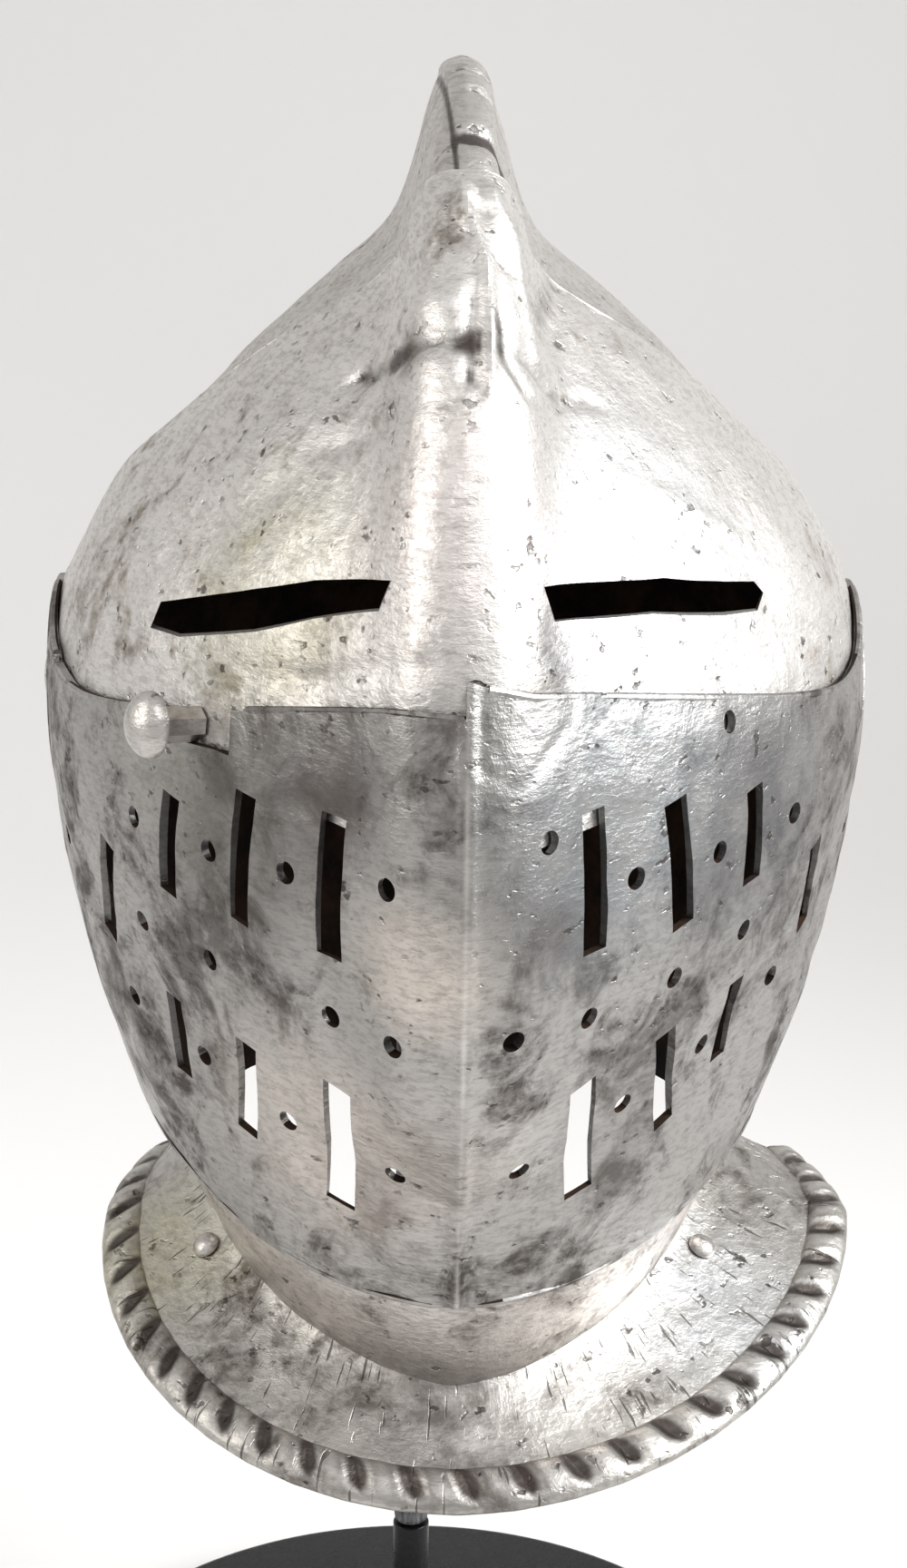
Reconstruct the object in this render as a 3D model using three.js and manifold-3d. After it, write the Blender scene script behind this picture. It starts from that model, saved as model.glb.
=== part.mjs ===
// A close helmet of plain steel, its plates closed, on a black display stand.
// Millimetres, +Z up. The face looks along -Y, and "left" is -X, the left as seen from in front.
// The origin is the centre of the underside of the stand's base.
import * as THREE from "three";
import { mergeVertices } from "three/addons/utils/BufferGeometryUtils.js";
import Module from "manifold-3d";

const wasm = await Module();
wasm.setup();

// Driving dimensions. All plates turn about one hinge line, which runs along X.
const HINGE_HEIGHT = 330;
const HELMET_SIDE = 10;
const HALF_WIDTH = 95.5;
const FLAT_RADIUS = 27;
const FIT_GAP = 0.4;

// Plate faces, as distances out from the skull's outer face.
// Over the brow the plates lie closer together than at the hinges, where the bevor's arms are between them.
const SKULL = { inner: -2.0, outer: 0 };
const BEVOR = { inner: 0.7, outer: 2.4 };
const VISOR = { brow: 0.8, side: 2.9, thick: 1.8 };
const VENTAIL = { brow: 3.1, side: 5.2, thick: 1.8 };

// The helmet's side view, as radii from the hinge line: 0 degrees is straight ahead, 90 is up, 180 is back.
// sharp and full shape the section across: 1 and 1 would be a plain wedge, larger values are rounder.
// crest is the radius of the comb's top.
const PROFILE = [
  { deg: -90, radius: 216, sharp: 1.6, full: 1.42, crest: 150 },
  { deg: -75, radius: 203, sharp: 1.6, full: 1.42, crest: 150 },
  { deg: -57, radius: 178, sharp: 1.6, full: 1.42, crest: 150 },
  { deg: -46, radius: 160, sharp: 1.55, full: 1.4, crest: 150 },
  { deg: -34, radius: 151, sharp: 1.5, full: 1.38, crest: 152 },
  { deg: -20, radius: 149.5, sharp: 1.5, full: 1.38, crest: 156 },
  { deg: 5, radius: 149.5, sharp: 1.5, full: 1.36, crest: 157 },
  { deg: 20, radius: 146, sharp: 1.48, full: 1.34, crest: 157 },
  { deg: 35, radius: 138, sharp: 1.45, full: 1.32, crest: 157 },
  { deg: 50, radius: 130, sharp: 1.4, full: 1.3, crest: 157 },
  { deg: 65, radius: 125.5, sharp: 1.34, full: 1.28, crest: 157 },
  { deg: 80, radius: 123, sharp: 1.3, full: 1.27, crest: 157 },
  { deg: 145, radius: 123, sharp: 1.3, full: 1.27, crest: 157 },
  { deg: 170, radius: 123, sharp: 1.3, full: 1.27, crest: 152 },
  { deg: 190, radius: 126, sharp: 1.4, full: 1.3, crest: 140 },
  { deg: 210, radius: 141, sharp: 1.5, full: 1.36, crest: 141 },
  { deg: 231, radius: 176, sharp: 1.6, full: 1.42, crest: 150 },
  { deg: 248, radius: 216, sharp: 1.6, full: 1.42, crest: 150 },
  { deg: 270, radius: 216, sharp: 1.6, full: 1.42, crest: 150 },
];

// The comb is a tall hollow ridge: its half width is this at half its height, wider where the ridge is low.
const COMB = { halfWidth: 11.5, spread: 4.8, lowSpread: 7, fullHeight: 27 };
// File cuts across the comb's top.
const COMB_CUTS = { firstDeg: 57, lastDeg: 147, stepDeg: 9, deep: 1.6, wide: 4, skewDeg: 28 };

// Side-view outlines, as forward distance and height from the hinge line.
const SKULL_OUTLINE = [
  [150, 158], [92, 92], [66, 56], [44, 34], [34, 14], [31, -14], [24, -40], [16, -70], [8, -100], [2, -122],
  [-30, -127], [-70, -134], [-135, -142], [-220, -60], [-220, 190], [60, 220],
];
const VISOR_OUTLINE = [
  [175, 9], [96, 5], [30, -14], [20, -22], [0, -26], [-20, -17], [-27, 0], [-24, 18],
  [-6, 44], [30, 80], [62, 107], [80, 113], [95, 126], [150, 150],
];
const VENTAIL_OUTLINE = [
  [175, 29], [152, 26.5], [110, 17], [84, 12], [60, 10], [40, 13], [26, 19], [14, 25], [0, 27], [-14, 23],
  [-24, 12], [-27, -2], [-22, -30], [-12, -70], [-3, -104], [8, -112], [30, -108], [60, -113], [90, -121],
  [112, -124.5], [175, -124.5],
];
const BEVOR_OUTLINE = [
  [175, -111], [96, -110], [66, -104], [50, -88], [42, -60], [34, -30], [26, -10], [20, 14], [0, 24], [-20, 14],
  [-25, 0], [-24, -30], [-20, -70], [-22, -110], [-24, -131], [0, -134], [97, -160], [175, -180],
];

// The sights, as front-view outlines from the helmet's middle and the hinge line.
const SIGHTS = [
  [[-68, 36], [-70.5, 30], [-63, 30], [-45, 35.5], [-32, 40.5], [-18, 45], [-15.5, 51.5], [-32, 48], [-45, 44]],
  [[15.5, 50.5], [18, 43], [26, 42], [40, 40.5], [58, 36.5], [67, 35], [69, 38], [66.5, 41], [43, 47]],
];
// The breaths: long slots, from top to low end in side-view degrees, at a distance across from the middle.
const SLOTS = [
  { topAcross: -24, lowAcross: -25.5, topDeg: 1, lowDeg: -12.3, wide: 7.2 },
  { topAcross: -43, lowAcross: -45.5, topDeg: 1, lowDeg: -13.7, wide: 6.4 },
  { topAcross: -60.5, lowAcross: -62, topDeg: -2.2, lowDeg: -16.4, wide: 6.7 },
  { topAcross: -77.5, lowAcross: -78.5, topDeg: -17.8, lowDeg: -40.9, wide: 7.4 },
  { topAcross: 23, lowAcross: 24.5, topDeg: 1.7, lowDeg: -11.4, wide: 6.9 },
  { topAcross: 42, lowAcross: 45, topDeg: 0.7, lowDeg: -13.6, wide: 7.7 },
  { topAcross: 61.5, lowAcross: 62.5, topDeg: -1, lowDeg: -14.5, wide: 7.2 },
  { topAcross: 79.5, lowAcross: 79, topDeg: -18.7, lowDeg: -39.2, wide: 7.4 },
  { topAcross: -63, lowAcross: -61, topDeg: -35.7, lowDeg: -46.4, wide: 6.7 },
  { topAcross: -45, lowAcross: -45.5, topDeg: -30, lowDeg: -43.4, wide: 6.7 },
  { topAcross: -24, lowAcross: -24.5, topDeg: -26.4, lowDeg: -42.4, wide: 8 },
  { topAcross: 61, lowAcross: 58.5, topDeg: -30, lowDeg: -41.7, wide: 6.4 },
  { topAcross: 43, lowAcross: 44.5, topDeg: -27, lowDeg: -41.4, wide: 6.7 },
  { topAcross: 24, lowAcross: 25, topDeg: -26.1, lowDeg: -41.1, wide: 8 },
];
// The round breaths between them.
const HOLE_RADIUS = 2.6;
const HOLE_SIDES = 6;
const HOLES = [
  { across: -70, deg: -8.5 }, { across: -52, deg: -7 }, { across: -34.5, deg: -5.6 }, { across: -13, deg: -3.8 },
  { across: -90, deg: -38.8 }, { across: -69, deg: -26.1 }, { across: -53, deg: -21.9 },
  { across: -73, deg: -46 }, { across: -55.5, deg: -39.3 }, { across: -25.5, deg: -18.7 },
  { across: -11.5, deg: -17.3 }, { across: -35.5, deg: -36.5 }, { across: -12, deg: -34.2 },
  { across: 13.5, deg: 0 }, { across: 33.5, deg: -5.8 }, { across: 53.5, deg: -7.2 }, { across: 72.5, deg: -8.4 },
  { across: 91, deg: -36.2 }, { across: 61.5, deg: -21.6 }, { across: 44, deg: -19.8 },
  { across: 71, deg: -39.4 }, { across: 24, deg: -18.1 }, { across: 8, deg: -15.9 },
  { across: 53, deg: -35.3 }, { across: 34, deg: -33 }, { across: 11, deg: -33.1 }, { across: 54.5, deg: 7.8 },
];
// The notch in the ventail's upper edge, round the visor's lifting peg: front-view corners.
const NOTCH = [[-64, 60], [-63, 9], [-50.5, 9.5], [-48, 60]];
const PEG = { across: -56, deg: 7.1, pinRadius: 2, shankRadius: 4.4, shankLength: 12, headRadius: 7.4, headHigh: 5 };

// Hinge rivets, through all the plates.
const RIVET = { shankRadius: 4, holeRadius: 4.4, headRadius: 9, headHigh: 4.2, tailRadius: 8, tailThick: 2.4 };

// The gorget plate: a flared ring round the bevor's lower edge, open behind, with a roped rim.
// Angles are in plan about a centre on the middle line, 0 straight ahead.
const GORGET = {
  centreForward: 15, endDeg: 112, thick: 1.7, rimAhead: 104, rimAside: 97, rimRound: 1.85, rimDrop: -170,
  rimSideDrop: -144, rimShift: 7.5, necklineDrop: -128, necklineSlope: 0.255, stations: 22, flare: 0.78,
};
const ROPE = { radius: 3.1, depth: 0.28, pitch: 14, stepsPerTurn: 3, sides: 5 };
const GORGET_RIVET = { planDeg: 66, share: 0.17, radius: 3.6, high: 2.2, shank: 1.5, hole: 1.9, tail: 3, tailHigh: 1 };

const STAND = {
  baseRadius: 110, baseThick: 14, bevel: 2.5, postRadius: 5.1, postTop: 82,
  rodRadius: 4.8, capRadius: 23, capUnder: 86, capTop: 97.5, baseSides: 24, rodSides: 14,
};

// Shares of the half width where the plates' facets meet, and the step of their rows round the hinge line.
const COLUMNS = [0, 0.05, 0.1, 0.17, 0.32, 0.49, 0.66, 0.82, 0.94, 1];
const ROW_DEGREES = 10;

const radians = THREE.MathUtils.degToRad;
const steel = (name, color, roughness) =>
  new THREE.MeshStandardMaterial({ name, color, roughness, metalness: 0.9 });
const blackPaint = (name) => new THREE.MeshStandardMaterial({ name, color: 0x101214, roughness: 0.25, metalness: 0 });

// Value of one column of a table at an angle, with slopes that never overshoot.
function fromTable(rows, key, deg) {
  const at = Math.min(Math.max(deg, rows[0].deg), rows[rows.length - 1].deg);
  let i = 0;
  while (i < rows.length - 2 && at > rows[i + 1].deg) i += 1;
  const rise = (k) => (rows[k + 1][key] - rows[k][key]) / (rows[k + 1].deg - rows[k].deg);
  const slope = (k) => {
    if (k === 0 || k === rows.length - 1) return 0;
    const before = rise(k - 1);
    const after = rise(k);
    return before * after <= 0 ? 0 : (2 * before * after) / (before + after);
  };
  const span = rows[i + 1].deg - rows[i].deg;
  const t = (at - rows[i].deg) / span;
  const t2 = t * t;
  const t3 = t2 * t;
  return (
    (2 * t3 - 3 * t2 + 1) * rows[i][key] +
    (t3 - 2 * t2 + t) * span * slope(i) +
    (3 * t2 - 2 * t3) * rows[i + 1][key] +
    (t3 - t2) * span * slope(i + 1)
  );
}

const turnedIn = (deg) => ((((deg + 90) % 360) + 360) % 360) - 90;

// Radius of the skull's outer face from the hinge line, with the comb, at a distance x from the middle.
function faceRadius(x, deg) {
  const angle = turnedIn(deg);
  const u = Math.min(1, Math.abs(x) / HALF_WIDTH);
  const radius = fromTable(PROFILE, "radius", angle);
  const sharp = fromTable(PROFILE, "sharp", angle);
  const full = fromTable(PROFILE, "full", angle);
  const cheek = FLAT_RADIUS + (radius - FLAT_RADIUS) * (1 - u ** sharp) ** (1 / full);
  const height = fromTable(PROFILE, "crest", angle) - radius;
  if (height <= 0) return cheek;
  const low = Math.max(0, 1 - height / COMB.fullHeight);
  const width = COMB.halfWidth + COMB.lowSpread * low;
  return cheek + height / (1 + (Math.abs(x) / width) ** COMB.spread);
}

// A point of a plate's face: the skull's face moved out along the section's own normal.
function facePoint(u, deg, offset) {
  const x = u * HALF_WIDTH;
  const step = 0.4;
  const inside = HALF_WIDTH - 0.001;
  const before = Math.max(-inside, x - step);
  const after = Math.min(inside, x + step);
  const run = after - before;
  const rise = faceRadius(after, deg) - faceRadius(before, deg);
  const length = Math.hypot(run, rise);
  const r = faceRadius(x, deg);
  return { x: x - (rise / length) * offset, r: r + (run / length) * offset };
}

// Places a distance across, a side-view radius and an angle in space.
const inSpace = (x, r, deg) =>
  new THREE.Vector3(x, -r * Math.cos(radians(deg)), HINGE_HEIGHT + r * Math.sin(radians(deg)));

function surfacePoint(across, deg, offset) {
  const p = facePoint(across / HALF_WIDTH, deg, offset);
  return inSpace(p.x, p.r, deg);
}

// The plate's outward normal there, from two neighbours along and across it.
function surfaceNormal(across, deg, offset) {
  const alongX = surfacePoint(across + 1, deg, offset).sub(surfacePoint(across - 1, deg, offset));
  const alongDeg = surfacePoint(across, deg + 1, offset).sub(surfacePoint(across, deg - 1, offset));
  return alongX.cross(alongDeg).normalize();
}

function solidOf(points, faces) {
  const vertProperties = new Float32Array(points.flatMap((p) => [p.x, p.y, p.z]));
  const triVerts = new Uint32Array(faces.flat());
  const solid = new wasm.Manifold(new wasm.Mesh({ numProp: 3, vertProperties, triVerts }));
  if (solid.volume() > 0) return solid;
  const turned = new Uint32Array(faces.flatMap(([a, b, c]) => [a, c, b]));
  return new wasm.Manifold(new wasm.Mesh({ numProp: 3, vertProperties, triVerts: turned }));
}

function solidFrom(geometry) {
  const bare = geometry.clone();
  bare.deleteAttribute("normal");
  bare.deleteAttribute("uv");
  const merged = mergeVertices(bare, 1e-4);
  const position = merged.getAttribute("position");
  const points = [];
  for (let i = 0; i < position.count; i += 1) points.push(new THREE.Vector3().fromBufferAttribute(position, i));
  const index = Array.from(merged.getIndex().array);
  const faces = [];
  for (let i = 0; i < index.length; i += 3) {
    const [a, b, c] = index.slice(i, i + 3);
    if (a !== b && b !== c && c !== a) faces.push([a, b, c]);
  }
  return solidOf(points, faces);
}

function geometryOf(solid) {
  const mesh = solid.getMesh();
  const geometry = new THREE.BufferGeometry();
  const count = mesh.vertProperties.length / mesh.numProp;
  const positions = new Float32Array(count * 3);
  for (let i = 0; i < count; i += 1) {
    for (let k = 0; k < 3; k += 1) positions[i * 3 + k] = mesh.vertProperties[i * mesh.numProp + k];
  }
  geometry.setAttribute("position", new THREE.BufferAttribute(positions, 3));
  geometry.setIndex(new THREE.BufferAttribute(new Uint32Array(mesh.triVerts), 1));
  geometry.computeVertexNormals();
  return geometry;
}

function meshOf(name, solid, material) {
  const mesh = new THREE.Mesh(geometryOf(solid), material);
  mesh.name = name;
  return mesh;
}

// The closed body inside a plate's face. offsetAt gives the offset for a share of the half width.
function closedBody(offsetAt) {
  const shares = [...COLUMNS.slice(1).reverse().map((u) => -u), ...COLUMNS];
  const rows = 360 / ROW_DEGREES;
  const rimAcross = HALF_WIDTH + offsetAt(1);
  const rimRadius = FLAT_RADIUS + 0.4 * offsetAt(1);
  const points = [];
  for (let j = 0; j < rows; j += 1) {
    const deg = j * ROW_DEGREES;
    for (const u of shares) {
      const onRim = Math.abs(u) === 1;
      const p = onRim ? { x: u * rimAcross, r: rimRadius } : facePoint(u, deg, offsetAt(Math.abs(u)));
      points.push(inSpace(p.x, p.r, deg));
    }
  }
  const left = points.push(inSpace(-rimAcross, 0, 0)) - 1;
  const right = points.push(inSpace(rimAcross, 0, 0)) - 1;
  const faces = [];
  const wide = shares.length;
  for (let j = 0; j < rows; j += 1) {
    const a = j * wide;
    const b = ((j + 1) % rows) * wide;
    for (let k = 0; k < wide - 1; k += 1) {
      faces.push([a + k, a + k + 1, b + k + 1], [a + k, b + k + 1, b + k]);
    }
    faces.push([left, a, b], [right, b + wide - 1, a + wide - 1]);
  }
  return solidOf(points, faces);
}

// A prism across the whole helmet, from a side-view outline.
function sidePrism(outline) {
  const halfLength = 140;
  const shape = new THREE.Shape(outline.map(([f, z]) => new THREE.Vector2(f, z)));
  const geometry = new THREE.ExtrudeGeometry(shape, { depth: 2 * halfLength, bevelEnabled: false });
  const turn = new THREE.Matrix4().makeBasis(
    new THREE.Vector3(0, -1, 0),
    new THREE.Vector3(0, 0, 1),
    new THREE.Vector3(-1, 0, 0),
  );
  turn.setPosition(halfLength, 0, HINGE_HEIGHT);
  return solidFrom(geometry.applyMatrix4(turn));
}

// A prism through the front plates only, from a front-view outline.
function frontPrism(outline) {
  const shape = new THREE.Shape(outline.map(([x, z]) => new THREE.Vector2(x, z)));
  const geometry = new THREE.ExtrudeGeometry(shape, { depth: 150, bevelEnabled: false });
  const turn = new THREE.Matrix4().makeBasis(
    new THREE.Vector3(1, 0, 0),
    new THREE.Vector3(0, 0, 1),
    new THREE.Vector3(0, -1, 0),
  );
  turn.setPosition(0, -30, HINGE_HEIGHT);
  return solidFrom(geometry.applyMatrix4(turn));
}

// A geometry made along +Y is turned to stand on a point along a direction.
function standOn(geometry, point, direction, upwards = new THREE.Vector3(0, 0, 1)) {
  const across = new THREE.Vector3().crossVectors(direction, upwards).normalize();
  const along = new THREE.Vector3().crossVectors(across, direction).normalize();
  const turn = new THREE.Matrix4().makeBasis(across, direction, along);
  turn.setPosition(point);
  return geometry.applyMatrix4(turn);
}

function plate(outerOffset, innerOffset, outline) {
  const wall = closedBody(outerOffset).subtract(closedBody(innerOffset));
  const hingeHole = new THREE.CylinderGeometry(RIVET.holeRadius, RIVET.holeRadius, 260, 12);
  hingeHole.rotateZ(Math.PI / 2).translate(0, 0, HINGE_HEIGHT);
  return wall.intersect(sidePrism(outline)).subtract(solidFrom(hingeHole));
}

const steady = (offset) => () => offset;
const blended = (brow, side) => (u) => brow + (side - brow) * THREE.MathUtils.smoothstep(u, 0.6, 0.9);

function slotCutter(slot) {
  const middle = VENTAIL.brow + VENTAIL.thick / 2;
  const top = surfacePoint(slot.topAcross, slot.topDeg, middle);
  const low = surfacePoint(slot.lowAcross, slot.lowDeg, middle);
  const across = (slot.topAcross + slot.lowAcross) / 2;
  const normal = surfaceNormal(across, (slot.topDeg + slot.lowDeg) / 2, middle);
  const box = new THREE.BoxGeometry(slot.wide, 22, top.distanceTo(low));
  return solidFrom(standOn(box, top.clone().add(low).multiplyScalar(0.5), normal, top.clone().sub(low)));
}

function holeCutter(hole) {
  const middle = VENTAIL.brow + VENTAIL.thick / 2;
  const bar = new THREE.CylinderGeometry(HOLE_RADIUS, HOLE_RADIUS, 16, HOLE_SIDES);
  const normal = surfaceNormal(hole.across, hole.deg, middle);
  return solidFrom(standOn(bar, surfacePoint(hole.across, hole.deg, middle), normal));
}

function makeSkull() {
  let skull = plate(steady(SKULL.outer), steady(SKULL.inner), SKULL_OUTLINE);
  for (let deg = COMB_CUTS.firstDeg; deg <= COMB_CUTS.lastDeg; deg += COMB_CUTS.stepDeg) {
    const top = inSpace(0, fromTable(PROFILE, "crest", deg), deg);
    const outwards = inSpace(0, 1, deg).sub(inSpace(0, 0, deg));
    const side = Math.SQRT1_2 * COMB_CUTS.wide;
    const bar = new THREE.BoxGeometry(30, side, side).rotateX(Math.PI / 4);
    bar.translate(0, COMB_CUTS.wide / 2 - COMB_CUTS.deep, 0).rotateY(radians(COMB_CUTS.skewDeg));
    skull = skull.subtract(solidFrom(standOn(bar, top, outwards, new THREE.Vector3(0, 1, 0))));
  }
  return skull;
}

function makeVisor() {
  const outer = blended(VISOR.brow + VISOR.thick, VISOR.side + VISOR.thick);
  const inner = blended(VISOR.brow, VISOR.side);
  let visor = plate(outer, inner, VISOR_OUTLINE);
  for (const sight of SIGHTS) visor = visor.subtract(frontPrism(sight));
  const pinHole = new THREE.CylinderGeometry(PEG.pinRadius + FIT_GAP, PEG.pinRadius + FIT_GAP, 16, 8);
  return visor.subtract(solidFrom(standOn(pinHole, pegFoot(), pegDirection())));
}

function makeVentail() {
  const outer = blended(VENTAIL.brow + VENTAIL.thick, VENTAIL.side + VENTAIL.thick);
  const inner = blended(VENTAIL.brow, VENTAIL.side);
  let ventail = plate(outer, inner, VENTAIL_OUTLINE);
  ventail = ventail.subtract(frontPrism(NOTCH));
  for (const slot of SLOTS) ventail = ventail.subtract(slotCutter(slot));
  for (const hole of HOLES) ventail = ventail.subtract(holeCutter(hole));
  return ventail;
}

const pegFoot = () => surfacePoint(PEG.across, PEG.deg, VISOR.brow + VISOR.thick);
const pegDirection = () => surfaceNormal(PEG.across, PEG.deg, VISOR.brow + VISOR.thick);

function makePeg() {
  const foot = FIT_GAP;
  const shoulder = foot + PEG.shankLength;
  const pin = new THREE.CylinderGeometry(PEG.pinRadius, PEG.pinRadius, 5, 8).translate(0, -1.6, 0);
  const shank = new THREE.CylinderGeometry(PEG.shankRadius, PEG.shankRadius * 0.92, PEG.shankLength, 6);
  shank.translate(0, foot + PEG.shankLength / 2, 0);
  const dome = [new THREE.Vector2(0, shoulder - 1), new THREE.Vector2(PEG.headRadius * 0.82, shoulder - 1)];
  for (let k = 0; k <= 4; k += 1) {
    const turn = (k / 4) * (Math.PI / 2);
    dome.push(new THREE.Vector2(PEG.headRadius * Math.cos(turn), shoulder + PEG.headHigh * Math.sin(turn)));
  }
  dome[dome.length - 1].x = 0;
  const head = new THREE.LatheGeometry(dome, 12);
  const peg = [pin, shank, head].map((g) => solidFrom(standOn(g, pegFoot(), pegDirection())));
  return peg[0].add(peg[1]).add(peg[2]);
}

// A hinge rivet on one side: -1 is left, 1 is right.
function makeHingeRivet(side) {
  const tailOut = HALF_WIDTH + SKULL.inner - FIT_GAP;
  const headIn = HALF_WIDTH + VENTAIL.side + VENTAIL.thick + FIT_GAP;
  const outline = [
    new THREE.Vector2(0, tailOut - RIVET.tailThick),
    new THREE.Vector2(RIVET.tailRadius, tailOut - RIVET.tailThick),
    new THREE.Vector2(RIVET.tailRadius, tailOut),
    new THREE.Vector2(RIVET.shankRadius, tailOut),
    new THREE.Vector2(RIVET.shankRadius, headIn),
    new THREE.Vector2(RIVET.headRadius, headIn),
    new THREE.Vector2(RIVET.headRadius * 0.94, headIn + RIVET.headHigh * 0.45),
    new THREE.Vector2(RIVET.headRadius * 0.6, headIn + RIVET.headHigh * 0.86),
    new THREE.Vector2(0, headIn + RIVET.headHigh),
  ];
  const rivet = new THREE.LatheGeometry(outline, 10);
  return solidFrom(standOn(rivet, new THREE.Vector3(0, 0, HINGE_HEIGHT), new THREE.Vector3(side, 0, 0)));
}

// Distance across of a plate's section at a given side-view radius, by halving.
function acrossAt(radius, deg, offset) {
  let low = 0;
  let high = 1;
  for (let k = 0; k < 30; k += 1) {
    const middle = (low + high) / 2;
    if (facePoint(middle, deg, offset).r > radius) low = middle;
    else high = middle;
  }
  return facePoint(low, deg, offset).x;
}

// How far out, in a plan direction from the gorget's centre, the bevor's face lies on the neckline.
function necklineReach(planDeg, offset) {
  const sideways = Math.abs(Math.sin(radians(planDeg)));
  const ahead = Math.cos(radians(planDeg));
  let low = 20;
  let high = 140;
  for (let k = 0; k < 30; k += 1) {
    const reach = (low + high) / 2;
    const forward = GORGET.centreForward + reach * ahead;
    const drop = necklineHeight(forward);
    const radius = Math.hypot(forward, drop);
    const deg = THREE.MathUtils.radToDeg(Math.atan2(drop, forward));
    if (reach * sideways < acrossAt(radius, deg, offset) && radius < facePoint(0, deg, offset).r) low = reach;
    else high = reach;
  }
  return low;
}

const necklineHeight = (forward) => GORGET.necklineDrop - GORGET.necklineSlope * Math.max(0, forward);

// A point of the gorget: share 0 at the neck, 1 at the rim, in a plan direction, lifted across its thickness.
function gorgetPoint(planDeg, share, lift) {
  const turn = radians(planDeg);
  const inner = necklineReach(planDeg, BEVOR.outer + FIT_GAP);
  const ahead = Math.abs(Math.cos(turn)) / GORGET.rimAhead;
  const aside = Math.abs(Math.sin(turn)) / GORGET.rimAside;
  const rim = (ahead ** GORGET.rimRound + aside ** GORGET.rimRound) ** (-1 / GORGET.rimRound);
  const reach = inner + (rim - inner) * share;
  const neck = necklineHeight(GORGET.centreForward + inner * Math.cos(turn)) + 1;
  const front = Math.max(0, Math.cos(turn));
  const rimHeight = GORGET.rimSideDrop + (GORGET.rimDrop - GORGET.rimSideDrop) * front;
  const height = neck + (rimHeight - neck) * share ** GORGET.flare;
  return new THREE.Vector3(
    reach * Math.sin(turn) + GORGET.rimShift * (1 - front) * share,
    -(GORGET.centreForward + reach * Math.cos(turn)),
    HINGE_HEIGHT + height + lift,
  );
}

function tubeBody(rings) {
  const points = rings.flat();
  const sides = rings[0].length;
  const middle = (ring) => ring.reduce((sum, p) => sum.add(p), new THREE.Vector3()).divideScalar(sides);
  const start = points.push(middle(rings[0])) - 1;
  const end = points.push(middle(rings[rings.length - 1])) - 1;
  const faces = [];
  for (let k = 0; k < sides; k += 1) {
    const next = (k + 1) % sides;
    for (let j = 0; j < rings.length - 1; j += 1) {
      const a = j * sides;
      const b = a + sides;
      faces.push([a + k, b + k, b + next], [a + k, b + next, a + next]);
    }
    const last = (rings.length - 1) * sides;
    faces.push([start, k, next], [end, last + next, last + k]);
  }
  return solidOf(points, faces);
}

function makeGorget() {
  const shares = [0, 0.15, 0.4, 0.7, 1];
  const rings = [];
  for (let j = 0; j <= GORGET.stations; j += 1) {
    const planDeg = -GORGET.endDeg + (2 * GORGET.endDeg * j) / GORGET.stations;
    const over = shares.map((s) => gorgetPoint(planDeg, s, 0));
    const under = shares.map((s) => gorgetPoint(planDeg, s, -GORGET.thick * (1.5 - 0.4 * s))).reverse();
    rings.push([...over, ...under]);
  }
  return tubeBody(rings).add(makeRope()).subtract(gorgetRivetHoles());
}

// The roped rim: a round edge whose radius swells and sinks in a spiral.
function makeRope() {
  const rimPoint = (planDeg) => gorgetPoint(planDeg, 1, -GORGET.thick * 0.55);
  let length = 0;
  const fine = 200;
  for (let k = 0; k < fine; k += 1) {
    const a = -GORGET.endDeg + (2 * GORGET.endDeg * k) / fine;
    length += rimPoint(a).distanceTo(rimPoint(a + (2 * GORGET.endDeg) / fine));
  }
  const turns = Math.round(length / ROPE.pitch);
  const steps = turns * ROPE.stepsPerTurn;
  const rings = [];
  for (let j = 0; j <= steps; j += 1) {
    const planDeg = -GORGET.endDeg + (2 * GORGET.endDeg * j) / steps;
    const centre = rimPoint(planDeg);
    const outwards = centre.clone().sub(gorgetPoint(planDeg, 0.7, -GORGET.thick * 0.55)).normalize();
    const along = rimPoint(planDeg + 0.5).sub(rimPoint(planDeg - 0.5)).normalize();
    const upwards = new THREE.Vector3().crossVectors(along, outwards).normalize();
    const ring = [];
    for (let k = 0; k < ROPE.sides; k += 1) {
      const turn = (2 * Math.PI * k) / ROPE.sides;
      const phase = (2 * Math.PI * turns * j) / steps + turn;
      const r = ROPE.radius * (1 + ROPE.depth * Math.cos(phase));
      const p = centre.clone().addScaledVector(outwards, r * Math.cos(turn));
      ring.push(p.addScaledVector(upwards, r * Math.sin(turn)));
    }
    rings.push(ring);
  }
  return tubeBody(rings);
}

const gorgetRivetPlace = (side) => gorgetPoint(side * GORGET_RIVET.planDeg, GORGET_RIVET.share, 0);

function gorgetRivetDirection(side) {
  const at = (turn, share) => gorgetPoint(side * GORGET_RIVET.planDeg + turn, GORGET_RIVET.share + share, 0);
  const normal = at(1, 0).sub(at(-1, 0)).cross(at(0, 0.1).sub(at(0, -0.1))).normalize();
  return normal.z > 0 ? normal : normal.negate();
}

function gorgetRivetHoles() {
  const holes = [-1, 1].map((side) => {
    const bar = new THREE.CylinderGeometry(GORGET_RIVET.hole, GORGET_RIVET.hole, 12, 8);
    return solidFrom(standOn(bar, gorgetRivetPlace(side), gorgetRivetDirection(side), new THREE.Vector3(0, 1, 0)));
  });
  return holes[0].add(holes[1]);
}

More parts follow.
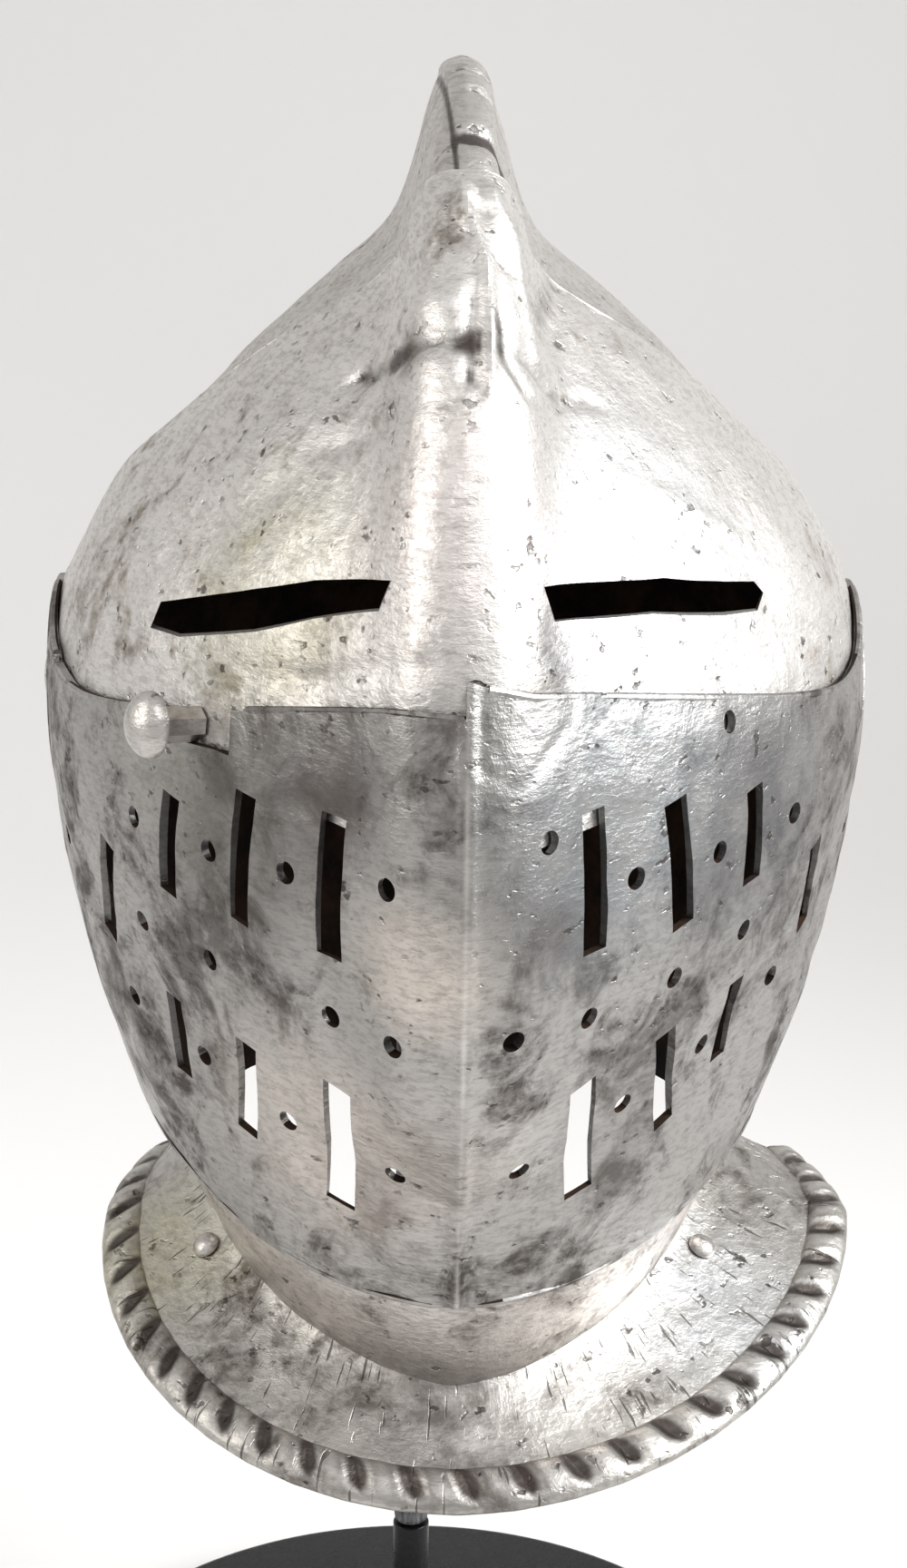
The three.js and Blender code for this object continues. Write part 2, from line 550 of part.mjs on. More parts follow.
function makeGorgetRivet(side) {
  const below = -GORGET.thick * 1.5 - FIT_GAP;
  const outline = [
    new THREE.Vector2(0, below - GORGET_RIVET.tailHigh),
    new THREE.Vector2(GORGET_RIVET.tail, below - GORGET_RIVET.tailHigh),
    new THREE.Vector2(GORGET_RIVET.tail, below),
    new THREE.Vector2(GORGET_RIVET.shank, below),
    new THREE.Vector2(GORGET_RIVET.shank, FIT_GAP + 0.2),
    new THREE.Vector2(GORGET_RIVET.radius, FIT_GAP + 0.2),
    new THREE.Vector2(GORGET_RIVET.radius * 0.72, FIT_GAP + GORGET_RIVET.high * 0.75),
    new THREE.Vector2(0, FIT_GAP + GORGET_RIVET.high),
  ];
  const rivet = new THREE.LatheGeometry(outline, 8);
  return solidFrom(
    standOn(rivet, gorgetRivetPlace(side), gorgetRivetDirection(side), new THREE.Vector3(0, 1, 0)),
  );
}

// A turned piece on the stand's own upright axis, from radius and height pairs.
function turned(outline, segments) {
  const lathe = new THREE.LatheGeometry(outline.map(([r, z]) => new THREE.Vector2(r, z)), segments);
  return solidFrom(lathe.rotateX(Math.PI / 2));
}

function makeBase() {
  const { baseRadius, baseThick, bevel } = STAND;
  return turned([
    [0, 0], [baseRadius - 1, 0], [baseRadius, 1], [baseRadius, baseThick - bevel],
    [baseRadius - bevel * 0.3, baseThick - bevel * 0.3], [baseRadius - bevel, baseThick], [0, baseThick],
  ], STAND.baseSides);
}

function makePost() {
  const foot = STAND.baseThick + FIT_GAP;
  return turned([[0, foot], [STAND.postRadius, foot], [STAND.postRadius, STAND.postTop], [0, STAND.postTop]], STAND.rodSides);
}

// The rod above the post, with the plain cap that the skull rests on.
function makeRod() {
  const foot = STAND.postTop + FIT_GAP;
  const under = HINGE_HEIGHT + STAND.capUnder;
  const top = HINGE_HEIGHT + STAND.capTop;
  return turned([
    [0, foot], [STAND.rodRadius, foot], [STAND.rodRadius, under], [STAND.capRadius * 0.8, under + 1.5],
    [STAND.capRadius, top - 6], [STAND.capRadius * 0.8, top - 1.5], [0, top],
  ], STAND.rodSides);
}

const helmet = new THREE.Group();
helmet.position.x = HELMET_SIDE;
helmet.add(meshOf("skull", makeSkull(), steel("skull", 0xa9a6a4, 0.38)));
helmet.add(meshOf("visor", makeVisor(), steel("visor", 0xb0aca8, 0.34)));
helmet.add(meshOf("lifting_peg", makePeg(), steel("lifting_peg", 0xb8b2ac, 0.32)));
helmet.add(meshOf("ventail", makeVentail(), steel("ventail", 0xa8a3a0, 0.36)));
const bevor = plate(steady(BEVOR.outer), steady(BEVOR.inner), BEVOR_OUTLINE);
helmet.add(meshOf("lower_bevor", bevor, steel("lower_bevor", 0xa5a19f, 0.4)));
helmet.add(meshOf("gorget_plate", makeGorget(), steel("gorget_plate", 0xa6a198, 0.42)));
for (const [side, name] of [[-1, "left"], [1, "right"]]) {
  helmet.add(meshOf(`hinge_rivet_${name}`, makeHingeRivet(side), steel("hinge_rivet", 0x8f8a86, 0.45)));
  helmet.add(meshOf(`gorget_rivet_${name}`, makeGorgetRivet(side), steel("gorget_rivet", 0x9a958f, 0.4)));
}

const stand = new THREE.Group();
stand.add(meshOf("stand_base", makeBase(), blackPaint("stand_base")));
stand.add(meshOf("stand_post", makePost(), blackPaint("stand_post")));
stand.add(meshOf("stand_rod", makeRod(), steel("stand_rod", 0x6c6f74, 0.6)));

const group = new THREE.Group();
group.add(helmet, stand);
export default group;
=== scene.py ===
import math

import bpy
import numpy as np
from mathutils import Matrix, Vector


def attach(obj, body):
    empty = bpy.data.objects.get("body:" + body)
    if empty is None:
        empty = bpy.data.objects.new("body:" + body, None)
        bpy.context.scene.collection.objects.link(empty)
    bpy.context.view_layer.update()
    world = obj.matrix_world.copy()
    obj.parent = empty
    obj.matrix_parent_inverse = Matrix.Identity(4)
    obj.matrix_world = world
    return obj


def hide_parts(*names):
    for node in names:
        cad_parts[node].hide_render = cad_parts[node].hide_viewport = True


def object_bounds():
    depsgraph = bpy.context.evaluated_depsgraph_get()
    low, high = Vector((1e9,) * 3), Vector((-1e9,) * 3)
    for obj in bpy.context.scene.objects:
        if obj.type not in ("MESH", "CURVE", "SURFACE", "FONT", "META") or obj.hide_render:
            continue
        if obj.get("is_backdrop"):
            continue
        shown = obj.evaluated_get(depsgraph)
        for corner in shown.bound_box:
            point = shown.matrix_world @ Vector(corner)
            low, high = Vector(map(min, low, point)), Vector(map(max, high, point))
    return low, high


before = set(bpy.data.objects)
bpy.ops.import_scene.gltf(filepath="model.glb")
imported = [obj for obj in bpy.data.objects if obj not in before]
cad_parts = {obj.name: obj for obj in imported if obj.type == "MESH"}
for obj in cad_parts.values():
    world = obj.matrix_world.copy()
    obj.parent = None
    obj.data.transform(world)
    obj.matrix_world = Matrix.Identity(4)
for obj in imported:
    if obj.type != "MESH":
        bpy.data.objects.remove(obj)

cad_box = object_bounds()

MM = 0.001


def table(columns, *rows):
    """A table with named columns, as one dictionary a row."""
    return [dict(zip(columns, row)) for row in rows]


# Driving dimensions, the same as the CAD solids'. All plates turn about one hinge line, along X.
HINGE_HEIGHT = 330
HELMET_SIDE = 10
HALF_WIDTH = 95.5
FLAT_RADIUS = 27
FIT_GAP = 0.4
SKULL = {"inner": -2.0, "outer": 0.0}
BEVOR = {"inner": 0.7, "outer": 2.4}
VISOR = {"brow": 0.8, "side": 2.9, "thick": 1.8}
VENTAIL = {"brow": 3.1, "side": 5.2, "thick": 1.8}

# The helmet's side view, as radii from the hinge line: 0 degrees is straight ahead, 90 is up, 180 is back.
PROFILE = table(
    ("deg", "radius", "sharp", "full", "crest"),
    (-90, 216, 1.6, 1.42, 150),
    (-75, 203, 1.6, 1.42, 150),
    (-57, 178, 1.6, 1.42, 150),
    (-46, 160, 1.55, 1.4, 150),
    (-34, 151, 1.5, 1.38, 152),
    (-20, 149.5, 1.5, 1.38, 156),
    (5, 149.5, 1.5, 1.36, 157),
    (20, 146, 1.48, 1.34, 157),
    (35, 138, 1.45, 1.32, 157),
    (50, 130, 1.4, 1.3, 157),
    (65, 125.5, 1.34, 1.28, 157),
    (80, 123, 1.3, 1.27, 157),
    (145, 123, 1.3, 1.27, 157),
    (170, 123, 1.3, 1.27, 152),
    (190, 126, 1.4, 1.3, 140),
    (210, 141, 1.5, 1.36, 141),
    (231, 176, 1.6, 1.42, 150),
    (248, 216, 1.6, 1.42, 150),
    (270, 216, 1.6, 1.42, 150),
)
COMB = {"half_width": 11.5, "spread": 4.8, "low_spread": 7, "full_height": 27}

# Side-view outlines, as forward distance and height from the hinge line.
SKULL_OUTLINE = [
    (150, 158), (92, 92), (66, 56), (44, 34), (34, 14), (31, -14), (24, -40), (16, -70), (8, -100), (2, -122),
    (-30, -127), (-70, -134), (-135, -142), (-220, -60), (-220, 190), (60, 220),
]
VISOR_OUTLINE = [
    (175, 9), (96, 5), (30, -14), (20, -22), (0, -26), (-20, -17), (-27, 0), (-24, 18),
    (-6, 44), (30, 80), (62, 107), (79, 115), (89, 131), (150, 150),
]
VENTAIL_OUTLINE = [
    (175, 32.5), (152, 30), (110, 20.5), (84, 15), (60, 12), (40, 14), (26, 19), (14, 25), (0, 27), (-14, 23),
    (-24, 12), (-27, -2), (-22, -30), (-12, -70), (-3, -104), (8, -112), (30, -108), (60, -113), (90, -121),
    (112, -124.5), (175, -124.5),
]
# What the left half of the ventail's top edge is cut down to.
LEFT_TOP = [(175, 28.5), (152, 26.5), (110, 17), (84, 12), (60, 10), (40, 13), (30, 40), (175, 60)]
BEVOR_OUTLINE = [
    (175, -111), (96, -110), (66, -104), (50, -88), (42, -60), (34, -30), (26, -10), (20, 14),
    (0, 24), (-20, 14),
    (-25, 0), (-24, -30), (-20, -70), (-22, -110), (-24, -131), (0, -134), (97, -160), (175, -180),
]

# The sights, as front-view outlines from the helmet's middle and the hinge line.
SIGHTS = [
    [(-68, 36), (-70.5, 30), (-63, 30), (-45, 35.5), (-32, 40.5), (-18, 45), (-15.5, 51.5),
     (-32, 48), (-45, 44)],
    [(15.5, 50.5), (18, 43), (26, 42), (40, 40.5), (58, 36.5), (67, 35), (69, 38), (66.5, 41), (43, 47)],
]
# The breaths: long slots, from top to low end in side-view degrees, at a distance across from the middle.
SLOTS = table(
    ("top_across", "low_across", "top", "low", "wide"),
    (-24, -25.5, 1, -12.3, 7.2),
    (-43, -45.5, 1, -13.7, 6.4),
    (-60.5, -62, -2.2, -16.4, 6.7),
    (-77.5, -78.5, -17.8, -40.9, 7.4),
    (23, 24.5, 1.7, -11.4, 6.9),
    (42, 45, 0.7, -13.6, 7.7),
    (61.5, 62.5, -1, -14.5, 7.2),
    (79.5, 79, -18.7, -39.2, 7.4),
    (-63, -61, -35.7, -46.4, 6.7),
    (-45, -45.5, -30, -43.4, 6.7),
    (-24, -24.5, -26.4, -42.4, 8),
    (61, 58.5, -30, -41.7, 6.4),
    (43, 44.5, -27, -41.4, 6.7),
    (24, 25, -26.1, -41.1, 8),
)
# The round breaths between them, as distance across and side-view degrees.
HOLE_RADIUS = 2.6
HOLES = [
    (-70, -8.5), (-52, -7), (-34.5, -5.6), (-13, -3.8), (-90, -38.8), (-69, -26.1), (-53, -21.9), (-73, -46),
    (-55.5, -39.3), (-25.5, -18.7), (-11.5, -17.3), (-35.5, -36.5), (-12, -34.2), (13.5, 0), (33.5, -5.8),
    (53.5, -7.2), (72.5, -8.4), (91, -36.2), (61.5, -21.6), (44, -19.8), (71, -39.4), (24, -18.1), (8, -15.9),
    (53, -35.3), (34, -33), (11, -33.1), (54.5, 7.8),
]
NOTCH = [(-64, 60), (-63, 9), (-50.5, 9.5), (-48, 60)]
PEG = {"across": -56, "deg": 7.1, "shank_radius": 4.4, "shank_length": 12, "head_radius": 7.4, "head_high": 5}
RIVET = {"shank": 4, "hole": 4.4, "head": 9, "head_high": 4.2}
GORGET = {
    "centre_forward": 15, "end_deg": 112, "thick": 1.7, "rim_ahead": 104, "rim_aside": 97, "rim_round": 1.85,
    "rim_drop": -170, "rim_side_drop": -144, "rim_shift": 7.5, "neck_drop": -128, "neck_slope": 0.255,
    "flare": 0.78,
}
ROPE = {
    "radius": 3.3, "half_width": 5.6, "depth": 0.6, "pitch": 13, "lift": 0.4, "sides": 40, "steps_a_turn": 34,
    "ridge_power": 6, "ridge_stand": 0.12, "narrow": 1.25, "hollow_power": 0.7, "top_power": 0.6,
}
GORGET_RIVET = {"plan_deg": 66, "share": 0.17, "radius": 3.6, "high": 2.2}
# How far the cutting tools reach, and their sides.
REACH = {"side": 140, "front_from": -30, "front": 150, "hinge": 130, "slot": 11, "hole": 8}
SIDES = {"hinge": 24, "hole": 20, "edge": 8}
CURVE_STEPS = 24
HALVINGS = 30
EDGE_RADIUS = 1.0
HOOD_EDGE = {"radius": 0.6, "sunk": 0.55}
STAND = {
    "base_radius": 110, "base_thick": 14, "bevel": 2.5, "post_radius": 5.1, "post_top": 82,
    "rod_radius": 4.8, "cap_radius": 23, "cap_under": 86, "cap_top": 97.5,
}


# Shape.

def from_table(key, deg):
    """Value of one column of PROFILE at angles, with slopes that never overshoot."""
    degs = np.array([row["deg"] for row in PROFILE], float)
    values = np.array([row[key] for row in PROFILE], float)
    spans = np.diff(degs)
    rise = np.diff(values) / spans
    slopes = np.zeros(len(degs))
    before = rise[:-1]
    after = rise[1:]
    total = before + after
    slopes[1:-1] = np.where(before * after > 0, 2 * before * after / np.where(total == 0, 1, total), 0)
    turned = np.mod(np.asarray(deg, float) + 90, 360) - 90
    i = np.clip(np.searchsorted(degs, turned, side="left") - 1, 0, len(degs) - 2)
    t = (turned - degs[i]) / spans[i]
    t2 = t * t
    t3 = t2 * t
    return (
        (2 * t3 - 3 * t2 + 1) * values[i]
        + (t3 - 2 * t2 + t) * spans[i] * slopes[i]
        + (3 * t2 - 2 * t3) * values[i + 1]
        + (t3 - t2) * spans[i] * slopes[i + 1]
    )


def face_radius(x, deg):
    """Radius of the skull's outer face from the hinge line at a distance x from the middle, comb included."""
    x, deg = np.broadcast_arrays(np.asarray(x, float), np.asarray(deg, float))
    u = np.minimum(1, np.abs(x) / HALF_WIDTH)
    radius = from_table("radius", deg)
    sharp = from_table("sharp", deg)
    full = from_table("full", deg)
    cheek = FLAT_RADIUS + (radius - FLAT_RADIUS) * (1 - u ** sharp) ** (1 / full)
    height = np.maximum(0, from_table("crest", deg) - radius)
    low = np.maximum(0, 1 - height / COMB["full_height"])
    width = COMB["half_width"] + COMB["low_spread"] * low
    return cheek + height / (1 + (np.abs(x) / width) ** COMB["spread"])


def face_point(x, deg, offset):
    """(distance across, radius) of the face moved out by offset along the section's own normal."""
    x, deg = np.broadcast_arrays(np.asarray(x, float), np.asarray(deg, float))
    step = 0.4
    inside = HALF_WIDTH - 0.001
    before = np.maximum(-inside, x - step)
    after = np.minimum(inside, x + step)
    run = after - before
    rise = face_radius(after, deg) - face_radius(before, deg)
    length = np.hypot(run, rise)
    return x - rise / length * offset, face_radius(x, deg) + run / length * offset


def in_space(x, r, deg):
    turn = np.radians(deg)
    x, r, turn = np.broadcast_arrays(np.asarray(x, float), np.asarray(r, float), turn)
    return np.stack([x + HELMET_SIDE, -r * np.cos(turn), HINGE_HEIGHT + r * np.sin(turn)], -1)


def unit(vectors):
    return vectors / np.linalg.norm(vectors, axis=-1, keepdims=True)


def turns_of(sides):
    return np.arange(sides) * 2 * math.pi / sides


def surface_point(x, deg, offset):
    across, r = face_point(x, deg, offset)
    return in_space(across, r, deg)


def surface_normal(x, deg, offset):
    along_x = surface_point(x + 1, deg, offset) - surface_point(x - 1, deg, offset)
    along_deg = surface_point(x, deg + 1, offset) - surface_point(x, deg - 1, offset)
    return unit(np.cross(along_x, along_deg))


def bell(distance, width):
    return np.exp(-((distance / width) ** 2))


def between(value, low, high):
    t = np.clip((value - low) / (high - low), 0, 1)
    return t * t * (3 - 2 * t)


def steady(offset):
    return lambda u: np.full_like(u, offset)


def blended(brow, side):
    return lambda u: brow + (side - brow) * between(u, 0.6, 0.9)


def polar(forward, up):
    """Radius and side-view degrees of places in the side view."""
    return np.hypot(forward, up), np.degrees(np.arctan2(up, forward))


def across_at(radius, deg, offset_at):
    """Distance across of a plate's section at side-view radii, by halving."""
    low = np.zeros_like(radius)
    high = np.full_like(radius, HALF_WIDTH)
    for _ in range(HALVINGS):
        middle = (low + high) / 2
        beyond = face_point(middle, deg, offset_at(middle / HALF_WIDTH))[1] > radius
        low = np.where(beyond, middle, low)
        high = np.where(beyond, high, middle)
    return face_point(low, deg, offset_at(low / HALF_WIDTH))[0]


def wobble(points, wavelength, seed):
    """Smooth unevenness of about -1 to 1, from seeded waves of roughly one wavelength."""
    rng = np.random.default_rng(seed)
    waves = 26
    total = np.zeros(points.shape[:-1])
    for _ in range(waves):
        direction = rng.normal(size=3)
        direction /= np.linalg.norm(direction)
        number = 2 * math.pi / (wavelength * rng.uniform(0.65, 1.6))
        total += np.sin(points @ direction * number + rng.uniform(0, 2 * math.pi))
    return total / math.sqrt(waves / 2) / 1.6


def hammered(x, deg, seed):
    """The plates' forging marks, as a height in mm."""
    points = in_space(x, face_radius(x, deg), deg)
    return sum(row["high"] * wobble(points, row["wave"], seed + k) for k, row in enumerate(HAMMERED))


# Ridges (high above 0) and creases (below 0) along lines of (distance across, side-view degrees).
VISOR_LINES = table(
    ("line", "wide", "high"),
    ([(-0.5, 53.5), (-0.3, 50.4), (2.7, 45.3), (3.6, 39.2), (3.0, 34.0)], 1.25, 1.7),
    ([(3.6, 53.5), (4.3, 51.7), (7.1, 50.0), (8.1, 46.5), (10.0, 44.0), (12, 40)], 1.2, 1.3),
    ([(0.6, 42.5), (0.2, 38.0), (0.3, 34.8)], 1.4, -1.3),
    ([(-2.1, 38.1), (-11.7, 39.3), (-22.5, 43.6)], 1.8, -1.25),
    ([(-3.0, 42.0), (-13.0, 43.6), (-24.0, 48.5)], 4.5, 0.9),
    ([(-4.0, 33.5), (-14.0, 34.5), (-30.0, 36.0)], 2.6, -0.5),
    ([(6.0, 41.0), (6.5, 37.5), (10.0, 35.5)], 1.7, -1.2),
    ([(10.0, 38.5), (17.0, 38.5), (26.0, 42.0)], 2.2, -0.9),
    ([(14.0, 46.0), (18.0, 52.0), (20.0, 60.0)], 3.0, -0.8),
    ([(1.2, 51.3), (2.6, 51.0)], 1.1, -1.3),
    ([(5.4, 46.6), (6.4, 46.0)], 1.2, -1.3),
    ([(-36.0, 12.5), (-8.0, 13.5)], 2.2, -0.5),
    ([(30.0, 33.0), (58.0, 33.0)], 4.0, 0.5),
    ([(-30.0, 12.0), (-30.0, 20.0)], 5.0, -0.5),
    ([(17.0, 17.0), (17.0, 12.0)], 5.0, -0.7),
)
# The comb's roll: the lap along its left side, and cuts across it.
COMB_SEAM = [(-0.6, 48), (-1.6, 55), (-2.7, 63.7), (-5.2, 81.4), (-6.5, 100), (-7, 150)]
COMB_LINES = table(
    ("line", "wide", "high"),
    ([(0.8, 62.0), (6.6, 62.9)], 2.7, -2.3),
    ([(2.5, 72.2), (6.4, 72.8)], 1.6, -1.9),
    ([(-0.5, 78.2), (5.0, 78.9)], 1.5, -1.8),
)
# Plainer cuts over the hidden back of the comb.
for k in range(6):
    start = 87.5 + 9 * k
    COMB_LINES.append({"line": [(-3.0, start), (4.5, start + 1)], "wide": 1.5, "high": (-1.5, -1.4)[k % 2]})
VENTAIL_LINES = table(
    ("line", "wide", "high"),
    ([(1.5, 11.0), (1.5, 6.0), (9.0, 4.5), (16.0, 8.5)], 1.0, -0.35),
    ([(-4.0, 7.0), (-15.0, 2.0), (-30.0, 1.0)], 3.0, -0.4),
    ([(-52.0, 9.0), (-49.0, -1.0)], 2.5, -0.5),
)
# Length of a degree on the face, how deep relief may go into a 1.8 mm plate, and the forging marks' waves.
ARC_PER_DEG = 2.6
DEEPEST = -1.35
HAMMERED = table(("high", "wave"), (0.34, 34), (0.12, 13), (0.035, 5.5))


def line_relief(x, deg, table):
    """Heights of smooth ridges and creases along lines."""
    arc = deg * ARC_PER_DEG
    total = np.zeros(np.broadcast(x, deg).shape)
    for row in table:
        points = np.array(row["line"], float) * [1, ARC_PER_DEG]
        nearest = np.full(total.shape, 1e9)
        for start, end in zip(points, points[1:]):
            way = end - start
            share = np.clip(((x - start[0]) * way[0] + (arc - start[1]) * way[1]) / (way @ way), 0, 1)
            away = np.hypot(x - start[0] - share * way[0], arc - start[1] - share * way[1])
            nearest = np.minimum(nearest, away)
        total = total + row["high"] * bell(nearest, row["wide"])
    return total


def comb_share(x, deg):
    return between(deg, 40, 50) * (1 - between(deg, 140, 160)) * (np.abs(x) < 24)


def seam_place(deg):
    return np.interp(deg, [row[1] for row in COMB_SEAM], [row[0] for row in COMB_SEAM])


# On the comb: painted shade in the cuts across it and along the lap, and a painted highlight along the top of
# the roll.
def skull_tone(x, deg):
    seam = bell(seam_place(deg) - x - 0.2, 0.75)
    return comb_share(x, deg) * (line_relief(x, deg, COMB_LINES) - 1.1 * seam + 0.5 * bell(x - 3, 4))


# Painted highlight on the hood's ridges and painted shade in its creases and pit, unevenly strong.
def visor_tone(x, deg):
    uneven = wobble(np.stack([x, 0 * x, deg * ARC_PER_DEG], -1), 5, 72)
    return (0.62 + 0.2 * uneven) * line_relief(x, deg, VISOR_LINES)


# A painted highlight along the sharp keel, and painted shade in the ventail's creases.
def ventail_tone(x, deg):
    uneven = wobble(np.stack([0 * x, 0 * x, deg * ARC_PER_DEG], -1), 14, 71)
    return (0.75 + 0.3 * uneven) * bell(x, 0.9) + line_relief(x, deg, VENTAIL_LINES)


def no_tone(x, deg):
    return 0 * x


def skull_relief(x, deg):
    """Forging marks, and on the comb its rolled crest with a lap along its left and cuts across it."""
    comb = comb_share(x, deg)
    left = seam_place(deg) - x
    lap = -1.25 * np.exp(-np.maximum(left, 0) / 9) / (1 + np.exp(-left / 0.22)) - 0.5 * bell(left - 0.5, 0.6)
    roll = -0.7 * bell(x - 8.6, 1.3)
    marks = hammered(x, deg, 11) * (1 - 0.7 * bell(x, 12))
    return marks + comb * (lap + roll + line_relief(x, deg, COMB_LINES))


def visor_relief(x, deg):
    """Forging marks, the hood's ridges and the creases round it."""
    return hammered(x, deg, 21) + line_relief(x, deg, VISOR_LINES)


def ventail_relief(x, deg):
    """Forging marks and the sharp keel."""
    keel = 1.1 / (1 + (np.abs(x) / 1.15) ** 3)
    return 1.2 * hammered(x, deg, 31) + keel + line_relief(x, deg, VENTAIL_LINES)


def bevor_relief(x, deg):
    return 0.8 * hammered(x, deg, 41)


def column_places(count, keel_weight):
    """Distances across, closer together on the middle ridge, even along the section elsewhere."""
    x = np.linspace(0, HALF_WIDTH, 4001)
    r = face_radius(x, 20.0)
    length = np.hypot(np.diff(x), np.diff(r)) * (1 + keel_weight * bell(x[1:], 14))
    along = np.concatenate([[0], np.cumsum(length)])
    half = np.interp(np.linspace(0, along[-1], count + 1), along, x)
    half[0] = 0
    half[-1] = HALF_WIDTH
    return np.concatenate([-half[:0:-1], half])


def row_places(low, high, fine, coarse=6.0):
    """Angles all the way round, fine between low and high."""
    close = np.arange(low, high, fine)
    far = np.linspace(high, low + 360, int((low + 360 - high) / coarse) + 1)[:-1]
    return np.concatenate([close, far])


# Meshes.

def added(name, data):
    """A new object in the scene."""
    obj = bpy.data.objects.new(name, data)
    bpy.context.scene.collection.objects.link(obj)
    return obj


def mesh_object(name, points, faces):
    mesh = bpy.data.meshes.new(name)
    mesh.from_pydata((np.asarray(points) * MM).tolist(), [], faces)
    mesh.validate()
    return added(name, mesh)


def grid_faces(rows, columns, close_rows):
    a = np.arange(columns - 1)
    count = rows if close_rows else rows - 1
    j = np.arange(count)[:, None] * columns
    k = (np.arange(1, count + 1)[:, None] % rows) * columns
    quads = np.stack([j + a, j + a + 1, k + a + 1, k + a], -1).reshape(-1, 4)
    return quads.tolist()


def closed_body(name, offset_at, rows, columns, relief=None):
    """The closed body inside a plate's face."""
    deg = np.repeat(rows[:, None], len(columns), 1)
    x = np.repeat(columns[None, :], len(rows), 0)
    u = np.abs(x) / HALF_WIDTH
    offset = offset_at(u)
    if relief is not None:
        offset = offset + np.maximum(DEEPEST, relief(x, deg)) * (1 - between(u, 0.985, 1))
    across, r = face_point(x, deg, offset)
    rim_across = HALF_WIDTH + float(offset_at(np.ones(1))[0])
    rim_radius = FLAT_RADIUS + 0.4 * float(offset_at(np.ones(1))[0])
    across[:, 0] = -rim_across
    across[:, -1] = rim_across
    r[:, 0] = rim_radius
    r[:, -1] = rim_radius
    points = in_space(across, r, deg).reshape(-1, 3)
    ends = in_space(np.array([-rim_across, rim_across]), np.zeros(2), np.zeros(2))
    points = np.vstack([points, ends])
    wide = len(columns)
    count = len(rows)
    faces = grid_faces(count, wide, True)
    left = count * wide
    right = left + 1
    for j in range(count):
        a = j * wide
        b = ((j + 1) % count) * wide
        faces.append([left, a, b])
        faces.append([right, b + wide - 1, a + wide - 1])
    return mesh_object(name, points, faces)


def rounded(outline, steps=6):
    """An outline through the same points, as a smooth closed curve."""
    points = np.array(outline, float)
    result = []
    for i in range(len(points)):
        p0, p1, p2, p3 = (points[(i + k - 1) % len(points)] for k in range(4))
        for s in range(steps):
            t = s / steps
            bend = (2 * p0 - 5 * p1 + 4 * p2 - p3) * t * t
            result.append(0.5 * (2 * p1 + (p2 - p0) * t + bend + (3 * p1 - p0 - 3 * p2 + p3) * t ** 3))
    return np.array(result)


def prism(name, first, second):
    """A closed prism between two copies of an outline."""
    count = len(first)
    points = np.vstack([first, second])
    faces = [list(range(count))[::-1], list(range(count, 2 * count))]
    for k in range(count):
        n = (k + 1) % count
        faces.append([k, n, count + n, count + k])
    return mesh_object(name, points, faces)


def side_prism(outline, left=-REACH["side"], right=REACH["side"]):
    flat = np.stack([np.full(len(outline), HELMET_SIDE), -outline[:, 0], HINGE_HEIGHT + outline[:, 1]], -1)
    return prism("tool", flat + [left, 0, 0], flat + [right, 0, 0])


def front_prism(outline):
    outline = np.array(outline, float)
    start = np.full(len(outline), float(REACH["front_from"]))
    near = np.stack([HELMET_SIDE + outline[:, 0], start, HINGE_HEIGHT + outline[:, 1]], -1)
    return prism("tool", near, near - [0, REACH["front"], 0])


def frame_at(point, direction, upwards=(0, 0, 1)):
    """A 4x4 matrix, in mm, whose Y is direction."""
    direction = np.asarray(direction, float)
    across = unit(np.cross(direction, upwards))
    along = np.cross(across, direction)
    matrix = np.eye(4)
    matrix[:3, 0] = across
    matrix[:3, 1] = direction
    matrix[:3, 2] = along
    matrix[:3, 3] = point
    return matrix


def placed(points, matrix):
    return np.asarray(points, float) @ matrix[:3, :3].T + matrix[:3, 3]


def bar(matrix, outline, half_length):
    """A prism along the matrix's Y, from an outline in its X and Z."""
    outline = np.asarray(outline, float)
    near = np.stack([outline[:, 0], np.full(len(outline), -half_length), outline[:, 1]], -1)
    far = near + [0, 2 * half_length, 0]
    return prism("tool", placed(near, matrix), placed(far, matrix))


def ring(radius, sides):
    turn = turns_of(sides)
    return np.stack([radius * np.cos(turn), radius * np.sin(turn)], -1)


def values_of(items, key, wide=3, kind=float):
    """One value of each vertex, face or triangle of a mesh, as rows."""
    values = np.empty(len(items) * wide, kind)
    items.foreach_get(key, values)
    return values.reshape(-1, wide)


def fix_normals(obj):
    """Faces look outwards."""
    mesh = obj.data
    mesh.calc_loop_triangles()
    triangles = values_of(mesh.loop_triangles, "vertices", 3, int)
    a, b, c = values_of(mesh.vertices, "co")[triangles].transpose(1, 0, 2)
    if np.einsum("ij,ij->", a, np.cross(b, c)) < 0:
        mesh.flip_normals()


def joined(tools):
    for tool in tools:
        fix_normals(tool)
    mesh = bpy.data.meshes.new("tools")
    points = []
    faces = []
    for tool in tools:
        start = len(points)
        points += [v.co[:] for v in tool.data.vertices]
        faces += [[start + i for i in p.vertices] for p in tool.data.polygons]
    mesh.from_pydata(points, [], faces)
    for tool in tools:
        bpy.data.objects.remove(tool)
    return added("tools", mesh)


def boolean(obj, steps):
    """Cuts obj with (operation, tool) pairs and keeps the result."""
    fix_normals(obj)
    for operation, tool in steps:
        if tool.name != "tools":
            fix_normals(tool)
        modifier = obj.modifiers.new("cut", "BOOLEAN")
        modifier.operation = operation
        modifier.solver = "MANIFOLD"
        modifier.object = tool
    graph = bpy.context.evaluated_depsgraph_get()
    mesh = bpy.data.meshes.new_from_object(obj.evaluated_get(graph))
    obj.modifiers.clear()
    obj.data = mesh
    for _, tool in steps:
        bpy.data.objects.remove(tool)


def smooth(obj, degrees=32):
    mesh = obj.data
    mesh.polygons.foreach_set("use_smooth", [True] * len(mesh.polygons))
    mesh.set_sharp_from_angle(angle=math.radians(degrees))


